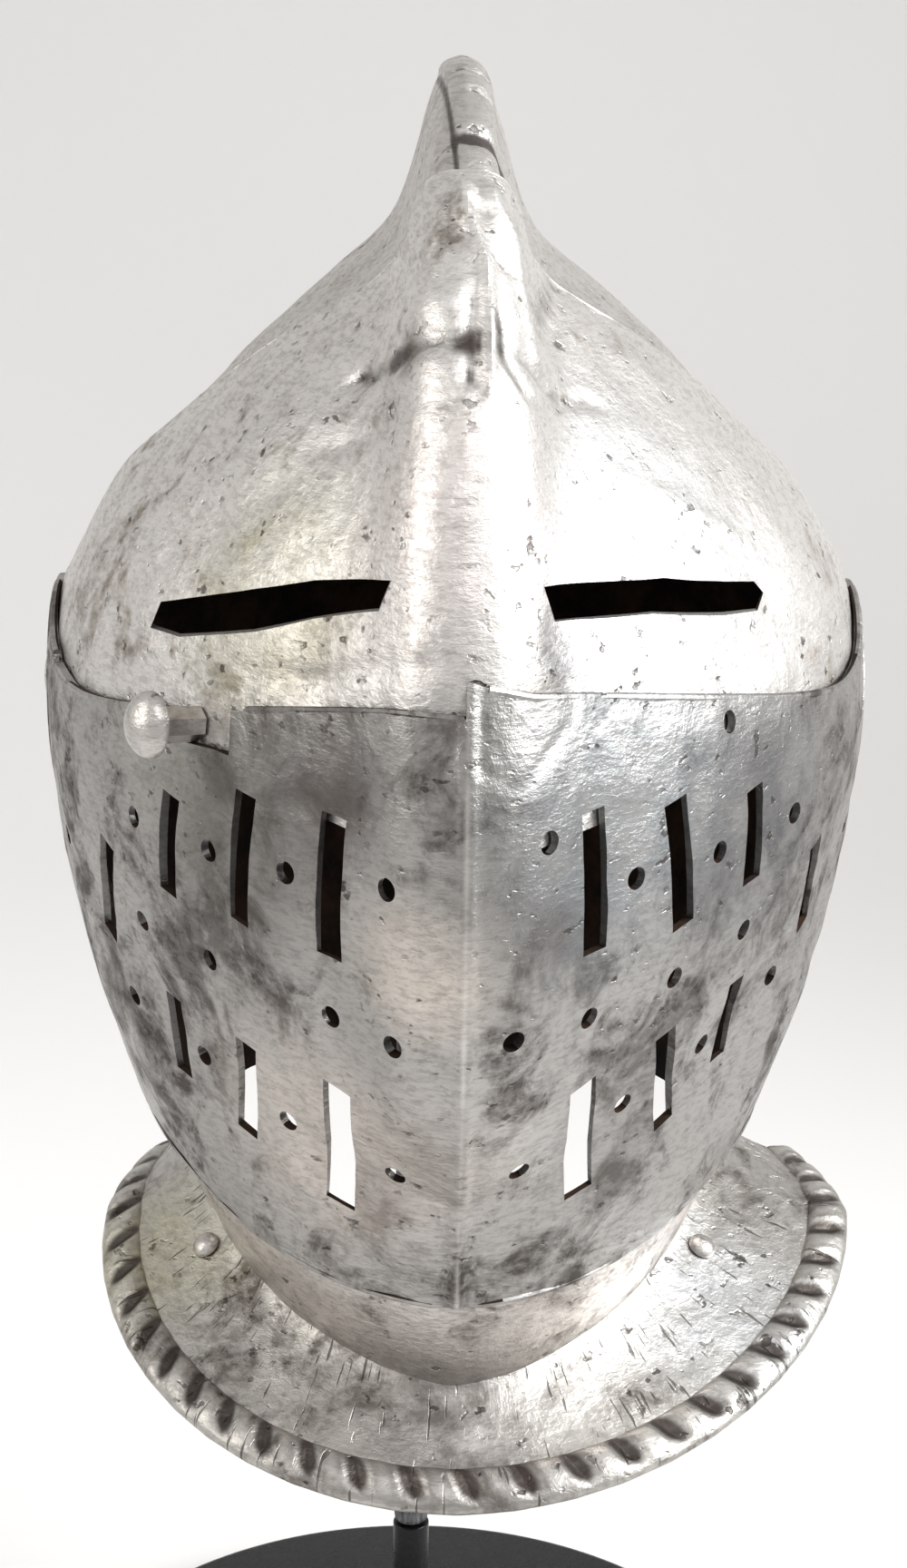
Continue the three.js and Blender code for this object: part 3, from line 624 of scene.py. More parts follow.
def inner_faces(obj, limit=-0.3):
    """Faces whose normal turns outwards by less than the limit get the second material."""
    mesh = obj.data
    count = len(mesh.polygons)
    centre = values_of(mesh.polygons, "center") / MM
    normal = values_of(mesh.polygons, "normal")
    halfway = HELMET_SIDE + 0.5 * (centre[:, 0] - HELMET_SIDE)
    axis = np.stack([halfway, np.zeros(count), np.full(count, HINGE_HEIGHT)], -1)
    inwards = np.einsum("ij,ij->i", unit(centre - axis), normal) < limit
    mesh.polygons.foreach_set("material_index", inwards.astype(int).tolist())


def put_tone(obj, values):
    """Keeps a number at each point: below 0 the steel is painted darker there as painted shade, above 0 it is
    painted lighter as a painted highlight.
    """
    attribute = obj.data.attributes.new("tone", "FLOAT", "POINT")
    attribute.data.foreach_set("value", np.asarray(values, np.float32))


def face_places(obj):
    """Distance across and side-view degrees of each point."""
    points = values_of(obj.data.vertices, "co") / MM
    deg = np.degrees(np.arctan2(points[:, 2] - HINGE_HEIGHT, -points[:, 1]))
    return points[:, 0] - HELMET_SIDE, np.where(deg < -90, deg + 360, deg)


def plate(name, outer, inner, rows, columns, outline, relief, tone, cutters=()):
    """A plate between two offsets of the face, trimmed to a side-view outline and cut by the cutters."""
    body = closed_body(name, outer, rows, columns, relief)
    coarse_rows = np.arange(0, 360, 3.0)
    core = closed_body("core", inner, coarse_rows, column_places(40, 1.0))
    hinge_frame = frame_at((HELMET_SIDE, 0, HINGE_HEIGHT), (1, 0, 0))
    hinge = bar(hinge_frame, ring(RIVET["hole"], SIDES["hinge"]), REACH["hinge"])
    steps = [("DIFFERENCE", core), ("INTERSECT", side_prism(rounded(outline))), ("DIFFERENCE", hinge)]
    steps += [("DIFFERENCE", tool) for tool in cutters]
    boolean(body, steps)
    put_tone(body, tone(*face_places(body)))
    inner_faces(body)
    smooth(body)
    return body


def slot_tool(slot, offset):
    top = surface_point(slot["top_across"], slot["top"], offset)
    low = surface_point(slot["low_across"], slot["low"], offset)
    across = (slot["top_across"] + slot["low_across"]) / 2
    normal = surface_normal(across, (slot["top"] + slot["low"]) / 2, offset)
    length = np.linalg.norm(top - low)
    w = slot["wide"] / 2
    h = length / 2
    outline = [(-w, -h), (w, -h), (w, h), (-w, h)]
    return bar(frame_at((top + low) / 2, normal, top - low), outline, REACH["slot"])


def hole_tool(hole, offset):
    point = surface_point(hole[0], hole[1], offset)
    normal = surface_normal(hole[0], hole[1], offset)
    return bar(frame_at(point, normal), ring(HOLE_RADIUS, SIDES["hole"]), REACH["hole"])


# A direction that no edge runs along.
TUBE_REFERENCE = (0.3, 0.2, 1.0)


def tube_rings(path, radius, sides):
    """Rings of points round a path."""
    path = np.asarray(path, float)
    along = unit(np.gradient(path, axis=0))
    side = unit(np.cross(along, TUBE_REFERENCE))
    up = np.cross(side, along)
    turn = turns_of(sides)
    round_it = np.cos(turn)[None, :, None] * side[:, None, :] + np.sin(turn)[None, :, None] * up[:, None, :]
    return path[:, None, :] + radius * round_it


def tube_mesh(rings):
    """Points and faces of a tube through rings, closed at both ends."""
    count, sides = rings.shape[:2]
    points = np.vstack([rings.reshape(-1, 3), rings[0].mean(0), rings[-1].mean(0)])
    faces = []
    for j in range(count - 1):
        a = j * sides
        b = a + sides
        for k in range(sides):
            n = (k + 1) % sides
            faces.append([a + k, b + k, b + n, a + n])
    start = count * sides
    last = (count - 1) * sides
    for k in range(sides):
        n = (k + 1) % sides
        faces.append([start, k, n])
        faces.append([start + 1, last + n, last + k])
    return points, faces


def rim(outline, first, last, offset_at):
    """Points along one side of a plate's trimmed edge, from the keel outwards."""
    points = rounded(outline, CURVE_STEPS)
    line = points[int(first * CURVE_STEPS):int(last * CURVE_STEPS) + 1]
    radius, deg = polar(line[:, 0], line[:, 1])
    on_plate = radius < face_point(0.0, deg, offset_at(np.zeros(1)))[1]
    radius = radius[on_plate]
    deg = deg[on_plate]
    across = across_at(radius, deg, offset_at)
    if across[0] > across[-1]:
        return across[::-1], radius[::-1], deg[::-1]
    return across, radius, deg


def both_sides(across, radius, deg):
    """A rim's path from the left side over the keel to the right side."""
    return np.vstack([in_space(-across, radius, deg)[::-1], in_space(across, radius, deg)])


def add_tube(obj, path, radius):
    """Joins a round edge to a plate's mesh."""
    points, faces = tube_mesh(tube_rings(path, radius, SIDES["edge"]))
    edge = mesh_object("edge", points, faces)
    fix_normals(edge)
    smooth(edge)
    join(obj, edge)


def join(obj, *others):
    with bpy.context.temp_override(active_object=obj, selected_editable_objects=[obj, *others], object=obj):
        bpy.ops.object.join()
    return obj


def lathe(name, outline, sides, matrix):
    """A turned piece from (radius, height) pairs round the matrix's Y."""
    turn = turns_of(sides)
    rings = []
    for r, h in outline:
        r = max(r, 1e-3)
        circle = np.stack([r * np.cos(turn), np.full(sides, h), r * np.sin(turn)], -1)
        rings.append(placed(circle, matrix))
    points, faces = tube_mesh(np.array(rings))
    obj = mesh_object(name, points, faces)
    fix_normals(obj)
    smooth(obj, 40)
    return obj


def dome(radius, start, high, steps):
    """The outline of a domed head, from its rim to its top."""
    turns = [k / steps * math.pi / 2 for k in range(steps + 1)]
    return [(radius * math.cos(turn), start + high * math.sin(turn)) for turn in turns]


def eased(outline, radius, steps=4):
    """A turned outline with its inner corners rounded by up to radius."""
    points = [np.array(p, float) for p in outline]
    result = [points[0]]
    for before, corner, after in zip(points, points[1:], points[2:]):
        a = before - corner
        b = after - corner
        la = np.linalg.norm(a)
        lb = np.linalg.norm(b)
        reach = min(radius, la * 0.45, lb * 0.45)
        start = corner + a / la * reach
        end = corner + b / lb * reach
        for s in range(steps + 1):
            t = s / steps
            result.append((1 - t) ** 2 * start + 2 * t * (1 - t) * corner + t * t * end)
    result.append(points[-1])
    return result


# Gorget plate.

def neckline_height(forward):
    return GORGET["neck_drop"] - GORGET["neck_slope"] * np.maximum(0, forward)


def neckline_reach(plan, offset):
    """How far the neckline is from the gorget's middle at plan angles, by halving."""
    turn = np.radians(plan)
    sideways = np.abs(np.sin(turn))
    ahead = np.cos(turn)
    low = np.full_like(turn, 20.0)
    high = np.full_like(turn, 140.0)
    for _ in range(HALVINGS):
        reach = (low + high) / 2
        forward = GORGET["centre_forward"] + reach * ahead
        drop = neckline_height(forward)
        radius, deg = polar(forward, drop)
        inside = reach * sideways < across_at(radius, deg, steady(offset))
        inside &= radius < face_point(0.0, deg, offset)[1]
        low = np.where(inside, reach, low)
        high = np.where(inside, high, reach)
    return low


def gorget_points(plan, inner, share, lift):
    """Points of the gorget plate: share 0 is at the neck, 1 at the rim."""
    turn = np.radians(plan)
    ahead = np.abs(np.cos(turn)) / GORGET["rim_ahead"]
    aside = np.abs(np.sin(turn)) / GORGET["rim_aside"]
    power = GORGET["rim_round"]
    rim_reach = (ahead ** power + aside ** power) ** (-1 / power)
    reach = inner + (rim_reach - inner) * share
    neck = neckline_height(GORGET["centre_forward"] + inner * np.cos(turn)) + 1
    front = np.maximum(0, np.cos(turn))
    rim_height = GORGET["rim_side_drop"] + (GORGET["rim_drop"] - GORGET["rim_side_drop"]) * front
    height = neck + (rim_height - neck) * share ** GORGET["flare"]
    return np.stack([
        HELMET_SIDE + reach * np.sin(turn) + GORGET["rim_shift"] * (1 - front) * share,
        -(GORGET["centre_forward"] + reach * np.cos(turn)),
        HINGE_HEIGHT + height + lift,
    ], -1)


def make_flange(plan, inner):
    """The flared plate, with its forging marks on top."""
    shares = np.linspace(0, 1, 46)
    thick = GORGET["thick"]
    grid = np.stack([gorget_points(plan, inner, s, 0.0) for s in shares], 1)
    under = np.stack([gorget_points(plan, inner, s, -thick * (1.5 - 0.4 * s)) for s in shares[::3]], 1)
    marks = 0.22 * wobble(grid, 26, 51) + 0.1 * wobble(grid, 9, 52)
    grid[..., 2] += marks * np.minimum(1, shares * 6)[None, :]
    rings = [np.vstack([top, low[::-1]]) for top, low in zip(grid, under)]
    points, faces = tube_mesh(np.array(rings))
    flange = mesh_object("gorget_flange", points, faces)
    put_tone(flange, np.zeros(len(points)))
    fix_normals(flange)
    smooth(flange, 40)
    return flange


def make_rope(plan, inner):
    """The roped rim: a flat roll, smooth outside, with slanting hollows on its top."""
    sunk = -GORGET["thick"] * 0.55
    centre = gorget_points(plan, inner, 1.0, sunk)
    length = np.linalg.norm(np.diff(centre, axis=0), axis=1).sum()
    turns = round(length / ROPE["pitch"])
    steps = turns * ROPE["steps_a_turn"]
    fine = np.linspace(-GORGET["end_deg"], GORGET["end_deg"], steps + 1)
    inner_fine = np.interp(fine, plan, inner)
    centre = gorget_points(fine, inner_fine, 1.0, sunk)
    outwards = unit(centre - gorget_points(fine, inner_fine, 0.7, sunk))
    along = unit(np.gradient(centre, axis=0))
    upwards = np.cross(outwards, along)
    upwards *= np.sign(upwards[:, 2:])
    turn = turns_of(ROPE["sides"])
    phase = 2 * math.pi * turns * np.arange(steps + 1)[:, None] / steps + turn[None, :]
    wave = np.abs(np.cos(phase / 2))
    ridge = wave ** ROPE["ridge_power"]
    inner_top = np.maximum(0, np.sin(turn)) ** ROPE["top_power"] * np.clip(1.05 - 0.9 * np.cos(turn), 0, 1)
    hollow = np.maximum(0, 1 - ROPE["narrow"] * wave) ** ROPE["hollow_power"] * inner_top
    raised = ROPE["radius"] * (1 - ROPE["depth"] * hollow)
    half_width = ROPE["half_width"] + ROPE["ridge_stand"] * ridge
    outwards_by = half_width * np.cos(turn) + ROPE["radius"] - ROPE["half_width"]
    rings = (
        centre[:, None, :]
        + outwards_by[..., None] * outwards[:, None, :]
        + (raised * np.sin(turn) + ROPE["lift"])[..., None] * upwards[:, None, :]
    )
    # Painted highlight on the tops of the ridges and painted shade in the hollows between them.
    tone = 0.75 * ridge * inner_top - 1.7 * hollow
    points, faces = tube_mesh(rings)
    rope = mesh_object("rope", points, faces)
    put_tone(rope, np.concatenate([tone.reshape(-1), [0, 0]]))
    fix_normals(rope)
    smooth(rope, 60)
    return rope


def make_gorget():
    plan = np.linspace(-GORGET["end_deg"], GORGET["end_deg"], 420)
    inner = neckline_reach(plan, BEVOR["outer"] + FIT_GAP)
    return join(make_flange(plan, inner), make_rope(plan, inner))


# Materials.

def named(color):
    return (*color, 1.0)


PATCH_CORE = 0.2
# Colours that all the steels share.
GRAIN_DARK = (0.13, 0.12, 0.11)
PIT_BROWN = (0.05, 0.042, 0.036)
SCRATCH_BROWN = (0.06, 0.052, 0.045)
# Painted highlight and painted shade, laid on where the mesh's tone says so.
PAINTED_HIGHLIGHT = (0.85, 0.82, 0.79)
PAINTED_SHADE = (0.055, 0.042, 0.036)


class Nodes:
    """Short ways to build the nodes of a material or of the world."""

    def __init__(self, name, kind="materials", shader="Principled BSDF"):
        self.owner = getattr(bpy.data, kind).new(name)
        self.owner.use_nodes = True
        self.tree = self.owner.node_tree
        self.shader = self.tree.nodes[shader]

    def add(self, kind, inputs=(), **settings):
        node = self.tree.nodes.new(kind)
        for key, value in settings.items():
            setattr(node, key, value)
        for key, value in dict(inputs).items():
            self.put(node.inputs[key], value)
        return node

    def put(self, socket, value):
        if isinstance(value, bpy.types.NodeSocket):
            self.tree.links.new(value, socket)
        else:
            socket.default_value = value

    def finish(self, **sockets):
        """Fills the shader's sockets, named with _ for a space, and gives the material or the world."""
        for name, value in sockets.items():
            self.put(self.shader.inputs[name.replace("_", " ")], value)
        return self.owner

    def place(self, scale=(1, 1, 1), shift=(0, 0, 0)):
        coords = self.add("ShaderNodeTexCoord")
        inputs = {"Vector": coords.outputs["Object"], "Scale": scale, "Location": shift}
        return self.add("ShaderNodeMapping", inputs).outputs["Vector"]

    def noise(self, scale, detail=4, rough=0.55, stretch=(1, 1, 1), shift=(0, 0, 0), distort=0.0):
        node = self.add("ShaderNodeTexNoise", {
            "Vector": self.place(stretch, shift), "Scale": scale, "Detail": detail, "Roughness": rough,
            "Distortion": distort,
        })
        return node.outputs["Fac"]

    def ramp(self, value, low, high, to_low=0.0, to_high=1.0):
        node = self.add("ShaderNodeMapRange", {
            "Value": value, "From Min": low, "From Max": high, "To Min": to_low, "To Max": to_high,
        }, interpolation_type="SMOOTHSTEP")
        return node.outputs["Result"]

    def math(self, operation, a, b=0.0):
        node = self.add("ShaderNodeMath", operation=operation)
        self.put(node.inputs[0], a)
        self.put(node.inputs[1], b)
        return node.outputs[0]

    def mix(self, share, a, b):
        node = self.add("ShaderNodeMix", data_type="RGBA")
        self.put(node.inputs["Factor"], share)
        self.put(node.inputs["A"], named(a) if isinstance(a, tuple) else a)
        self.put(node.inputs["B"], named(b) if isinstance(b, tuple) else b)
        return node.outputs["Result"]

    def bump(self, height, distance, strength=1.0, normal=None):
        inputs = {"Height": height, "Distance": distance, "Strength": strength}
        if normal is not None:
            inputs["Normal"] = normal
        return self.add("ShaderNodeBump", inputs).outputs["Normal"]

    def times(self, a, b):
        return self.math("MULTIPLY", a, b)

    def plus(self, a, b):
        return self.math("ADD", a, b)

    def parts(self, coords="Object"):
        split = self.add("ShaderNodeSeparateXYZ", {0: self.add("ShaderNodeTexCoord").outputs[coords]})
        return split.outputs["X"], split.outputs["Y"], split.outputs["Z"]

    def radial_scratches(self):
        """File scratches that run outwards from the neck."""
        x, y, _ = self.parts()
        x = self.math("SUBTRACT", x, HELMET_SIDE * MM)
        y = self.plus(y, GORGET["centre_forward"] * MM)
        turn = self.math("ARCTAN2", x, self.times(y, -1.0))
        reach = self.math("SQRT", self.plus(self.times(x, x), self.times(y, y)))
        where = self.add("ShaderNodeCombineXYZ", {
            "X": self.times(turn, 62.0), "Y": self.times(reach, 95.0),
        }).outputs["Vector"]
        noise = self.add("ShaderNodeTexNoise", {"Vector": where, "Scale": 1.0, "Detail": 2, "Roughness": 0.5})
        return self.ramp(noise.outputs["Fac"], 0.63, 0.7)

    def patch(self, place, radius):
        """1 inside a ball round a place in mm, fading outwards."""
        where = self.add("ShaderNodeTexCoord").outputs["Object"]
        away = self.add("ShaderNodeVectorMath", {1: tuple(c * MM for c in place)}, operation="DISTANCE")
        self.put(away.inputs[0], where)
        return self.ramp(away.outputs["Value"], radius * MM * PATCH_CORE, radius * MM, 1.0, 0.0)


def steel(name, bright, stain, stain_share=0.5, rough=0.34, seed=0.0, patches=(), scratched=False):
    """Old bright steel: blotched and pitted, painted darker as painted shade and lighter as a painted
    highlight where the mesh's tone says so.
    """
    n = Nodes(name)
    far = (seed, seed * 0.7, -seed)
    blotch = n.noise(24, 5, 0.62, (1, 1, 0.85), far, 0.7)
    cloud = n.noise(66, 6, 0.68, (1, 1, 0.95), (seed * 2, 3, 1), 0.5)
    speck = n.noise(240, 5, 0.7, (0.9, 0.9, 1.1), (1, seed, 4))
    grain = n.noise(560, 4, 0.68, (0.5, 0.5, 1.5), (5, 2, seed), 0.3)
    pits = n.noise(300, 2, 0.5, (0.8, 0.8, 1.3), (seed, 7, 3))
    stained = n.plus(n.times(blotch, 0.5), n.times(cloud, 0.5))
    stained = n.ramp(stained, 0.6 - 0.22 * stain_share, 0.74 - 0.22 * stain_share)
    speckled = n.plus(n.times(cloud, 0.45), n.times(speck, 0.55))
    speckled = n.ramp(speckled, 0.48, 0.64)
    shade = n.plus(n.times(stained, 0.72), n.times(speckled, 0.4))
    shade = n.math("MINIMUM", shade, 1.0)
    pitted = n.times(n.ramp(pits, 0.63, 0.7), n.ramp(cloud, 0.44, 0.6, 0.15, 1.0))
    color = n.mix(shade, bright, stain)
    for patch in patches:
        inside = n.times(n.patch(patch["place"], patch["radius"]), patch["share"])
        inside = n.times(inside, n.ramp(cloud, 0.3, 0.6, 0.5, 1.0))
        color = n.mix(inside, color, patch["color"])
    color = n.mix(n.ramp(grain, 0.42, 0.68, 0.0, 0.34), color, GRAIN_DARK)
    color = n.mix(n.times(pitted, 0.8), color, PIT_BROWN)
    roughness = n.ramp(shade, 0.0, 1.0, rough, rough + 0.16)
    roughness = n.plus(roughness, n.ramp(grain, 0.3, 0.75, 0.0, 0.08))
    height = n.math("SUBTRACT", 1.0, pitted)
    if scratched:
        scratch = n.radial_scratches()
        color = n.mix(n.times(scratch, 0.75), color, SCRATCH_BROWN)
        height = n.math("SUBTRACT", height, scratch)
    tone = n.add("ShaderNodeAttribute", attribute_name="tone").outputs["Fac"]
    # Painted highlight where the tone is above 0, painted shade where it is below 0.
    color = n.mix(n.times(n.ramp(tone, 0.2, 1.1), 0.5), color, PAINTED_HIGHLIGHT)
    color = n.mix(n.times(n.ramp(tone, -0.25, -1.05), 0.88), color, PAINTED_SHADE)
    normal = n.bump(cloud, 0.0012, 0.45)
    normal = n.bump(speck, 0.0005, 0.4, normal)
    normal = n.bump(grain, 0.00035, 0.6, normal)
    normal = n.bump(height, 0.0004, 0.8, normal)
    return n.finish(Base_Color=color, Roughness=roughness, Metallic=1.0, Normal=normal)


def rust(name):
    n = Nodes(name)
    cloud = n.noise(60, 6, 0.7)
    color = n.mix(n.ramp(cloud, 0.35, 0.7), (0.008, 0.006, 0.005), (0.05, 0.027, 0.017))
    rough = n.ramp(cloud, 0.3, 0.7, 0.75, 0.95)
    return n.finish(
        Base_Color=color, Roughness=rough, Specular_IOR_Level=0.15, Normal=n.bump(cloud, 0.0015, 0.5)
    )


def black_paint(name):
    n = Nodes(name)
    dust = n.noise(260, 4, 0.6)
    orange = n.noise(700, 2, 0.5)
    color = n.mix(n.ramp(dust, 0.45, 0.8), (0.004, 0.0045, 0.005), (0.012, 0.0125, 0.0135))
    rough = n.ramp(dust, 0.3, 0.8, 0.24, 0.36)
    return n.finish(
        Base_Color=color, Roughness=rough, Specular_IOR_Level=0.25, Normal=n.bump(orange, 0.0001, 0.25)
    )


def rod_metal(name):
    n = Nodes(name)
    streaks = n.noise(300, 4, 0.65, (1.6, 1.6, 0.35))
    color = n.mix(n.ramp(streaks, 0.35, 0.7), (0.07, 0.075, 0.08), (0.34, 0.35, 0.36))
    rough = n.ramp(streaks, 0.3, 0.7, 0.45, 0.7)
    return n.finish(Base_Color=color, Roughness=rough, Metallic=0.8, Normal=n.bump(streaks, 0.0006, 0.6))


def plain(name, color, roughness):
    n = Nodes(name)
    darker = tuple(c * 0.985 for c in color)
    return n.finish(Base_Color=n.mix(n.noise(3, 2, 0.5), color, darker), Roughness=roughness)


def face_patches(*rows):
    """Patches of another colour on the face, tints and painted light, as (across, degrees, radius, share,
    colour).
    """
    offset = VENTAIL["brow"]
    return [
        {"place": surface_point(x, deg, offset).tolist(), "radius": radius, "share": share, "color": color}
        for x, deg, radius, share, color in rows
    ]


# The pale pink patch on the prow and the pale one on the right of the forehead are painted highlights. The
# three small dark ones are painted shade in the pit and creases. The yellow-green and slate ones are the
# steel's own tints.
VISOR_TINTS_AND_PAINTED_LIGHT = face_patches(
    (0, 24, 42, 0.55, (0.9, 0.82, 0.8)),
    (40, 28, 45, 0.5, (0.8, 0.83, 0.83)),
    (-42, 22, 40, 0.5, (0.56, 0.54, 0.4)),
    (-35, 15, 22, 0.55, (0.45, 0.42, 0.34)),
    (18, 14.5, 15, 0.75, (0.16, 0.16, 0.165)),
    (0.3, 38, 6, 0.95, (0.05, 0.035, 0.03)),
    (5.9, 46.3, 3.5, 0.9, (0.12, 0.06, 0.045)),
    (-10, 39, 8, 0.6, (0.16, 0.12, 0.1)),
)
# The large dark patches are painted shade on the ventail's face turned from the light. The light ones left of
# the keel and low on the left are painted reflections. The bluish and grey tints and the small dark spots are
# the steel's own stains.
VENTAIL_TINTS_AND_PAINTED_LIGHT = face_patches(
    (-46, -4, 42, 0.8, (0.12, 0.11, 0.1)),
    (-26, 5, 30, 0.75, (0.13, 0.12, 0.115)),
    (16, -4, 34, 0.62, (0.15, 0.145, 0.14)),
    (62, -6, 44, 0.66, (0.17, 0.175, 0.185)),
    (-30, -36, 44, 0.7, (0.8, 0.73, 0.67)),
    (30, -38, 36, 0.5, (0.2, 0.19, 0.18)),
    (-8, -10, 24, 0.75, (0.8, 0.73, 0.66)),
    (-12, -30, 40, 0.45, (0.6, 0.545, 0.5)),
    (30, 0, 50, 0.4, (0.42, 0.46, 0.49)),
    (-62, 2, 30, 0.4, (0.5, 0.49, 0.45)),
    (-25, 2, 16, 0.6, (0.12, 0.1, 0.09)),
    (14, -8, 12, 0.5, (0.12, 0.1, 0.095)),
    (-16, -38, 13, 0.5, (0.13, 0.1, 0.09)),
    (-2, 9, 5, 0.7, (0.12, 0.1, 0.1)),
)
# The dark patch at the front is painted shade under the chin, and the pale cool one on the right is a painted
# highlight on the side the key light falls on. The yellow-green one is the steel's own tint.
GORGET_TINTS_AND_PAINTED_LIGHT = table(
    ("place", "radius", "share", "color"),
    ((10, -118, 170), 52, 0.45, (0.27, 0.25, 0.24)),
    ((-66, -40, 186), 36, 0.55, (0.6, 0.57, 0.4)),
    ((76, -60, 180), 40, 0.5, (0.68, 0.7, 0.72)),
)
rust_inside = rust("rust_inside")
materials = {
    "skull": steel("skull_steel", (0.64, 0.615, 0.59), (0.34, 0.31, 0.28), 0.4, 0.42, 1.3),
    "visor": steel("visor_steel", (0.79, 0.765, 0.74), (0.3, 0.265, 0.23), 0.38, 0.4, 4.1, VISOR_TINTS_AND_PAINTED_LIGHT),
    # The ventail's steel is painted much darker than the other plates', as painted shade on a face turned
    # away from the light.
    "ventail": steel(
        "ventail_steel", (0.45, 0.437, 0.423), (0.09, 0.08, 0.072), 0.62, 0.36, 7.7, VENTAIL_TINTS_AND_PAINTED_LIGHT
    ),
    "bevor": steel("bevor_steel", (0.66, 0.62, 0.59), (0.2, 0.17, 0.15), 0.45, 0.4, 9.2),
    "gorget": steel(
        "gorget_steel", (0.55, 0.53, 0.5), (0.14, 0.123, 0.107), 0.52, 0.4, 12.6, GORGET_TINTS_AND_PAINTED_LIGHT, True
    ),
    "fittings": steel("fittings_steel", (0.68, 0.65, 0.62), (0.3, 0.26, 0.23), 0.35, 0.3, 15.4),
}
black = black_paint("stand_black")
rod = rod_metal("rod_steel")


def dress(obj, node, body, slot_name, *mats):
    """Says what a piece replaces and rides on, and puts its materials on, keeping which face has which."""
    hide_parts(node)
    which = values_of(obj.data.polygons, "material_index", 1, np.int32)[:, 0]
    obj.data.materials.clear()
    for mat in mats:
        obj.data.materials.append(mat)
    obj.data.polygons.foreach_set("material_index", np.minimum(which, len(mats) - 1))
    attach(obj, body)


# The plates.
columns = column_places(112, 2.2)

visor_face = VISOR["brow"] + VISOR["thick"]
visor = plate(
    "visor_plate", blended(visor_face, VISOR["side"] + VISOR["thick"]), blended(VISOR["brow"], VISOR["side"]),
    row_places(-14, 104, 0.5), columns, VISOR_OUTLINE, visor_relief, visor_tone,
    [joined([front_prism(sight) for sight in SIGHTS])],
)
hood_edge = rim(VISOR_OUTLINE, 8.6, 12.4, steady(visor_face - HOOD_EDGE["sunk"]))
add_tube(visor, both_sides(*hood_edge), HOOD_EDGE["radius"])
dress(visor, "visor", "visor", "visor_steel", materials["visor"], rust_inside)

middle = VENTAIL["brow"] + VENTAIL["thick"] / 2
ventail_face = VENTAIL["brow"] + VENTAIL["thick"]
ventail_tools = [
    front_prism(NOTCH),
    side_prism(np.array(LEFT_TOP, float), -REACH["side"], -0.4),
    joined([slot_tool(slot, middle) for slot in SLOTS] + [hole_tool(hole, middle) for hole in HOLES]),
]
ventail = plate(
    "ventail_plate", blended(ventail_face, VENTAIL["side"] + VENTAIL["thick"]),
    blended(VENTAIL["brow"], VENTAIL["side"]),
    row_places(-66, 22, 0.45), columns, VENTAIL_OUTLINE, ventail_relief, ventail_tone, ventail_tools,
)
rim_offset = blended(VENTAIL["brow"] + VENTAIL["thick"] * 0.6, VENTAIL["side"] + VENTAIL["thick"] * 0.6)
add_tube(ventail, in_space(*rim(VENTAIL_OUTLINE, 0, 7.4, rim_offset)), EDGE_RADIUS)
# The left half's cut edge, on both sides of the notch for the peg.
left_line = rounded(LEFT_TOP, CURVE_STEPS)[:5 * CURVE_STEPS + 1]
radius, deg = polar(left_line[:, 0], left_line[:, 1])
on_face = radius < face_point(0.0, deg, ventail_face)[1]
radius = radius[on_face]
deg = deg[on_face]
across = across_at(radius, deg, rim_offset)
for part in (across < 48, across > 65):
    add_tube(ventail, in_space(-across[part], radius[part], deg[part]), EDGE_RADIUS)
across, radius, deg = rim(VENTAIL_OUTLINE, 5.1, 7.4, rim_offset)
part = across > 65
add_tube(ventail, in_space(-across[part], radius[part], deg[part]), EDGE_RADIUS)
add_tube(ventail, both_sides(*rim(VENTAIL_OUTLINE, 15, 20, rim_offset)), EDGE_RADIUS)
inner_faces(ventail, 0.2)
dress(ventail, "ventail", "ventail", "ventail_steel", materials["ventail"], rust_inside)

skull = plate(
    "skull_bowl", steady(SKULL["outer"]), steady(SKULL["inner"]),
    row_places(34, 152, 0.6, 2.5), columns, SKULL_OUTLINE, skull_relief, skull_tone,
)
dress(skull, "skull", "skull_on_stand", "skull_steel", materials["skull"], rust_inside)

bevor = plate(
    "bevor_plate", steady(BEVOR["outer"]), steady(BEVOR["inner"]),
    row_places(-100, -30, 0.6), column_places(90, 1.0), BEVOR_OUTLINE, bevor_relief, no_tone,
)
dress(bevor, "lower_bevor", "bevor", "bevor_steel", materials["bevor"], rust_inside)

gorget = make_gorget()
dress(gorget, "gorget_plate", "bevor", "gorget_steel", materials["gorget"])

# Fittings.
peg_place = (PEG["across"], PEG["deg"], visor_face)
peg_matrix = frame_at(surface_point(*peg_place), surface_normal(*peg_place))
shoulder = FIT_GAP + PEG["shank_length"]
head = [(0, shoulder - 1.2), (PEG["head_radius"] * 0.8, shoulder - 1.2), (PEG["head_radius"], shoulder - 0.2)]
head += dome(PEG["head_radius"], shoulder, PEG["head_high"], 12)
shank = [
    (0, -1), (2, -1), (2, FIT_GAP), (PEG["shank_radius"] * 0.92, FIT_GAP), (PEG["shank_radius"], shoulder),
    (0, shoulder),
]
peg = join(lathe("peg_head", head, 48, peg_matrix), lathe("peg_shank", shank, 7, peg_matrix))
peg.name = "peg"
dress(peg, "lifting_peg", "visor", "fittings_steel", materials["fittings"])

head_in = HALF_WIDTH + VENTAIL["side"] + VENTAIL["thick"] + FIT_GAP
tail_out = HALF_WIDTH + SKULL["inner"] - FIT_GAP
pivot_outline = [
    (0, tail_out - 2.4), (8, tail_out - 2.4), (8, tail_out), (RIVET["shank"], tail_out),
    (RIVET["shank"], head_in), (RIVET["head"], head_in),
]
pivot_outline += dome(RIVET["head"], head_in + 0.5, RIVET["head_high"] - 0.5, 8)
small_outline = [(0, -3.8), (3, -3.8), (3, -2.9), (1.5, -2.9), (1.5, 0.3), (GORGET_RIVET["radius"], 0.5)]
small_outline += dome(GORGET_RIVET["radius"], 0.7, GORGET_RIVET["high"], 6)


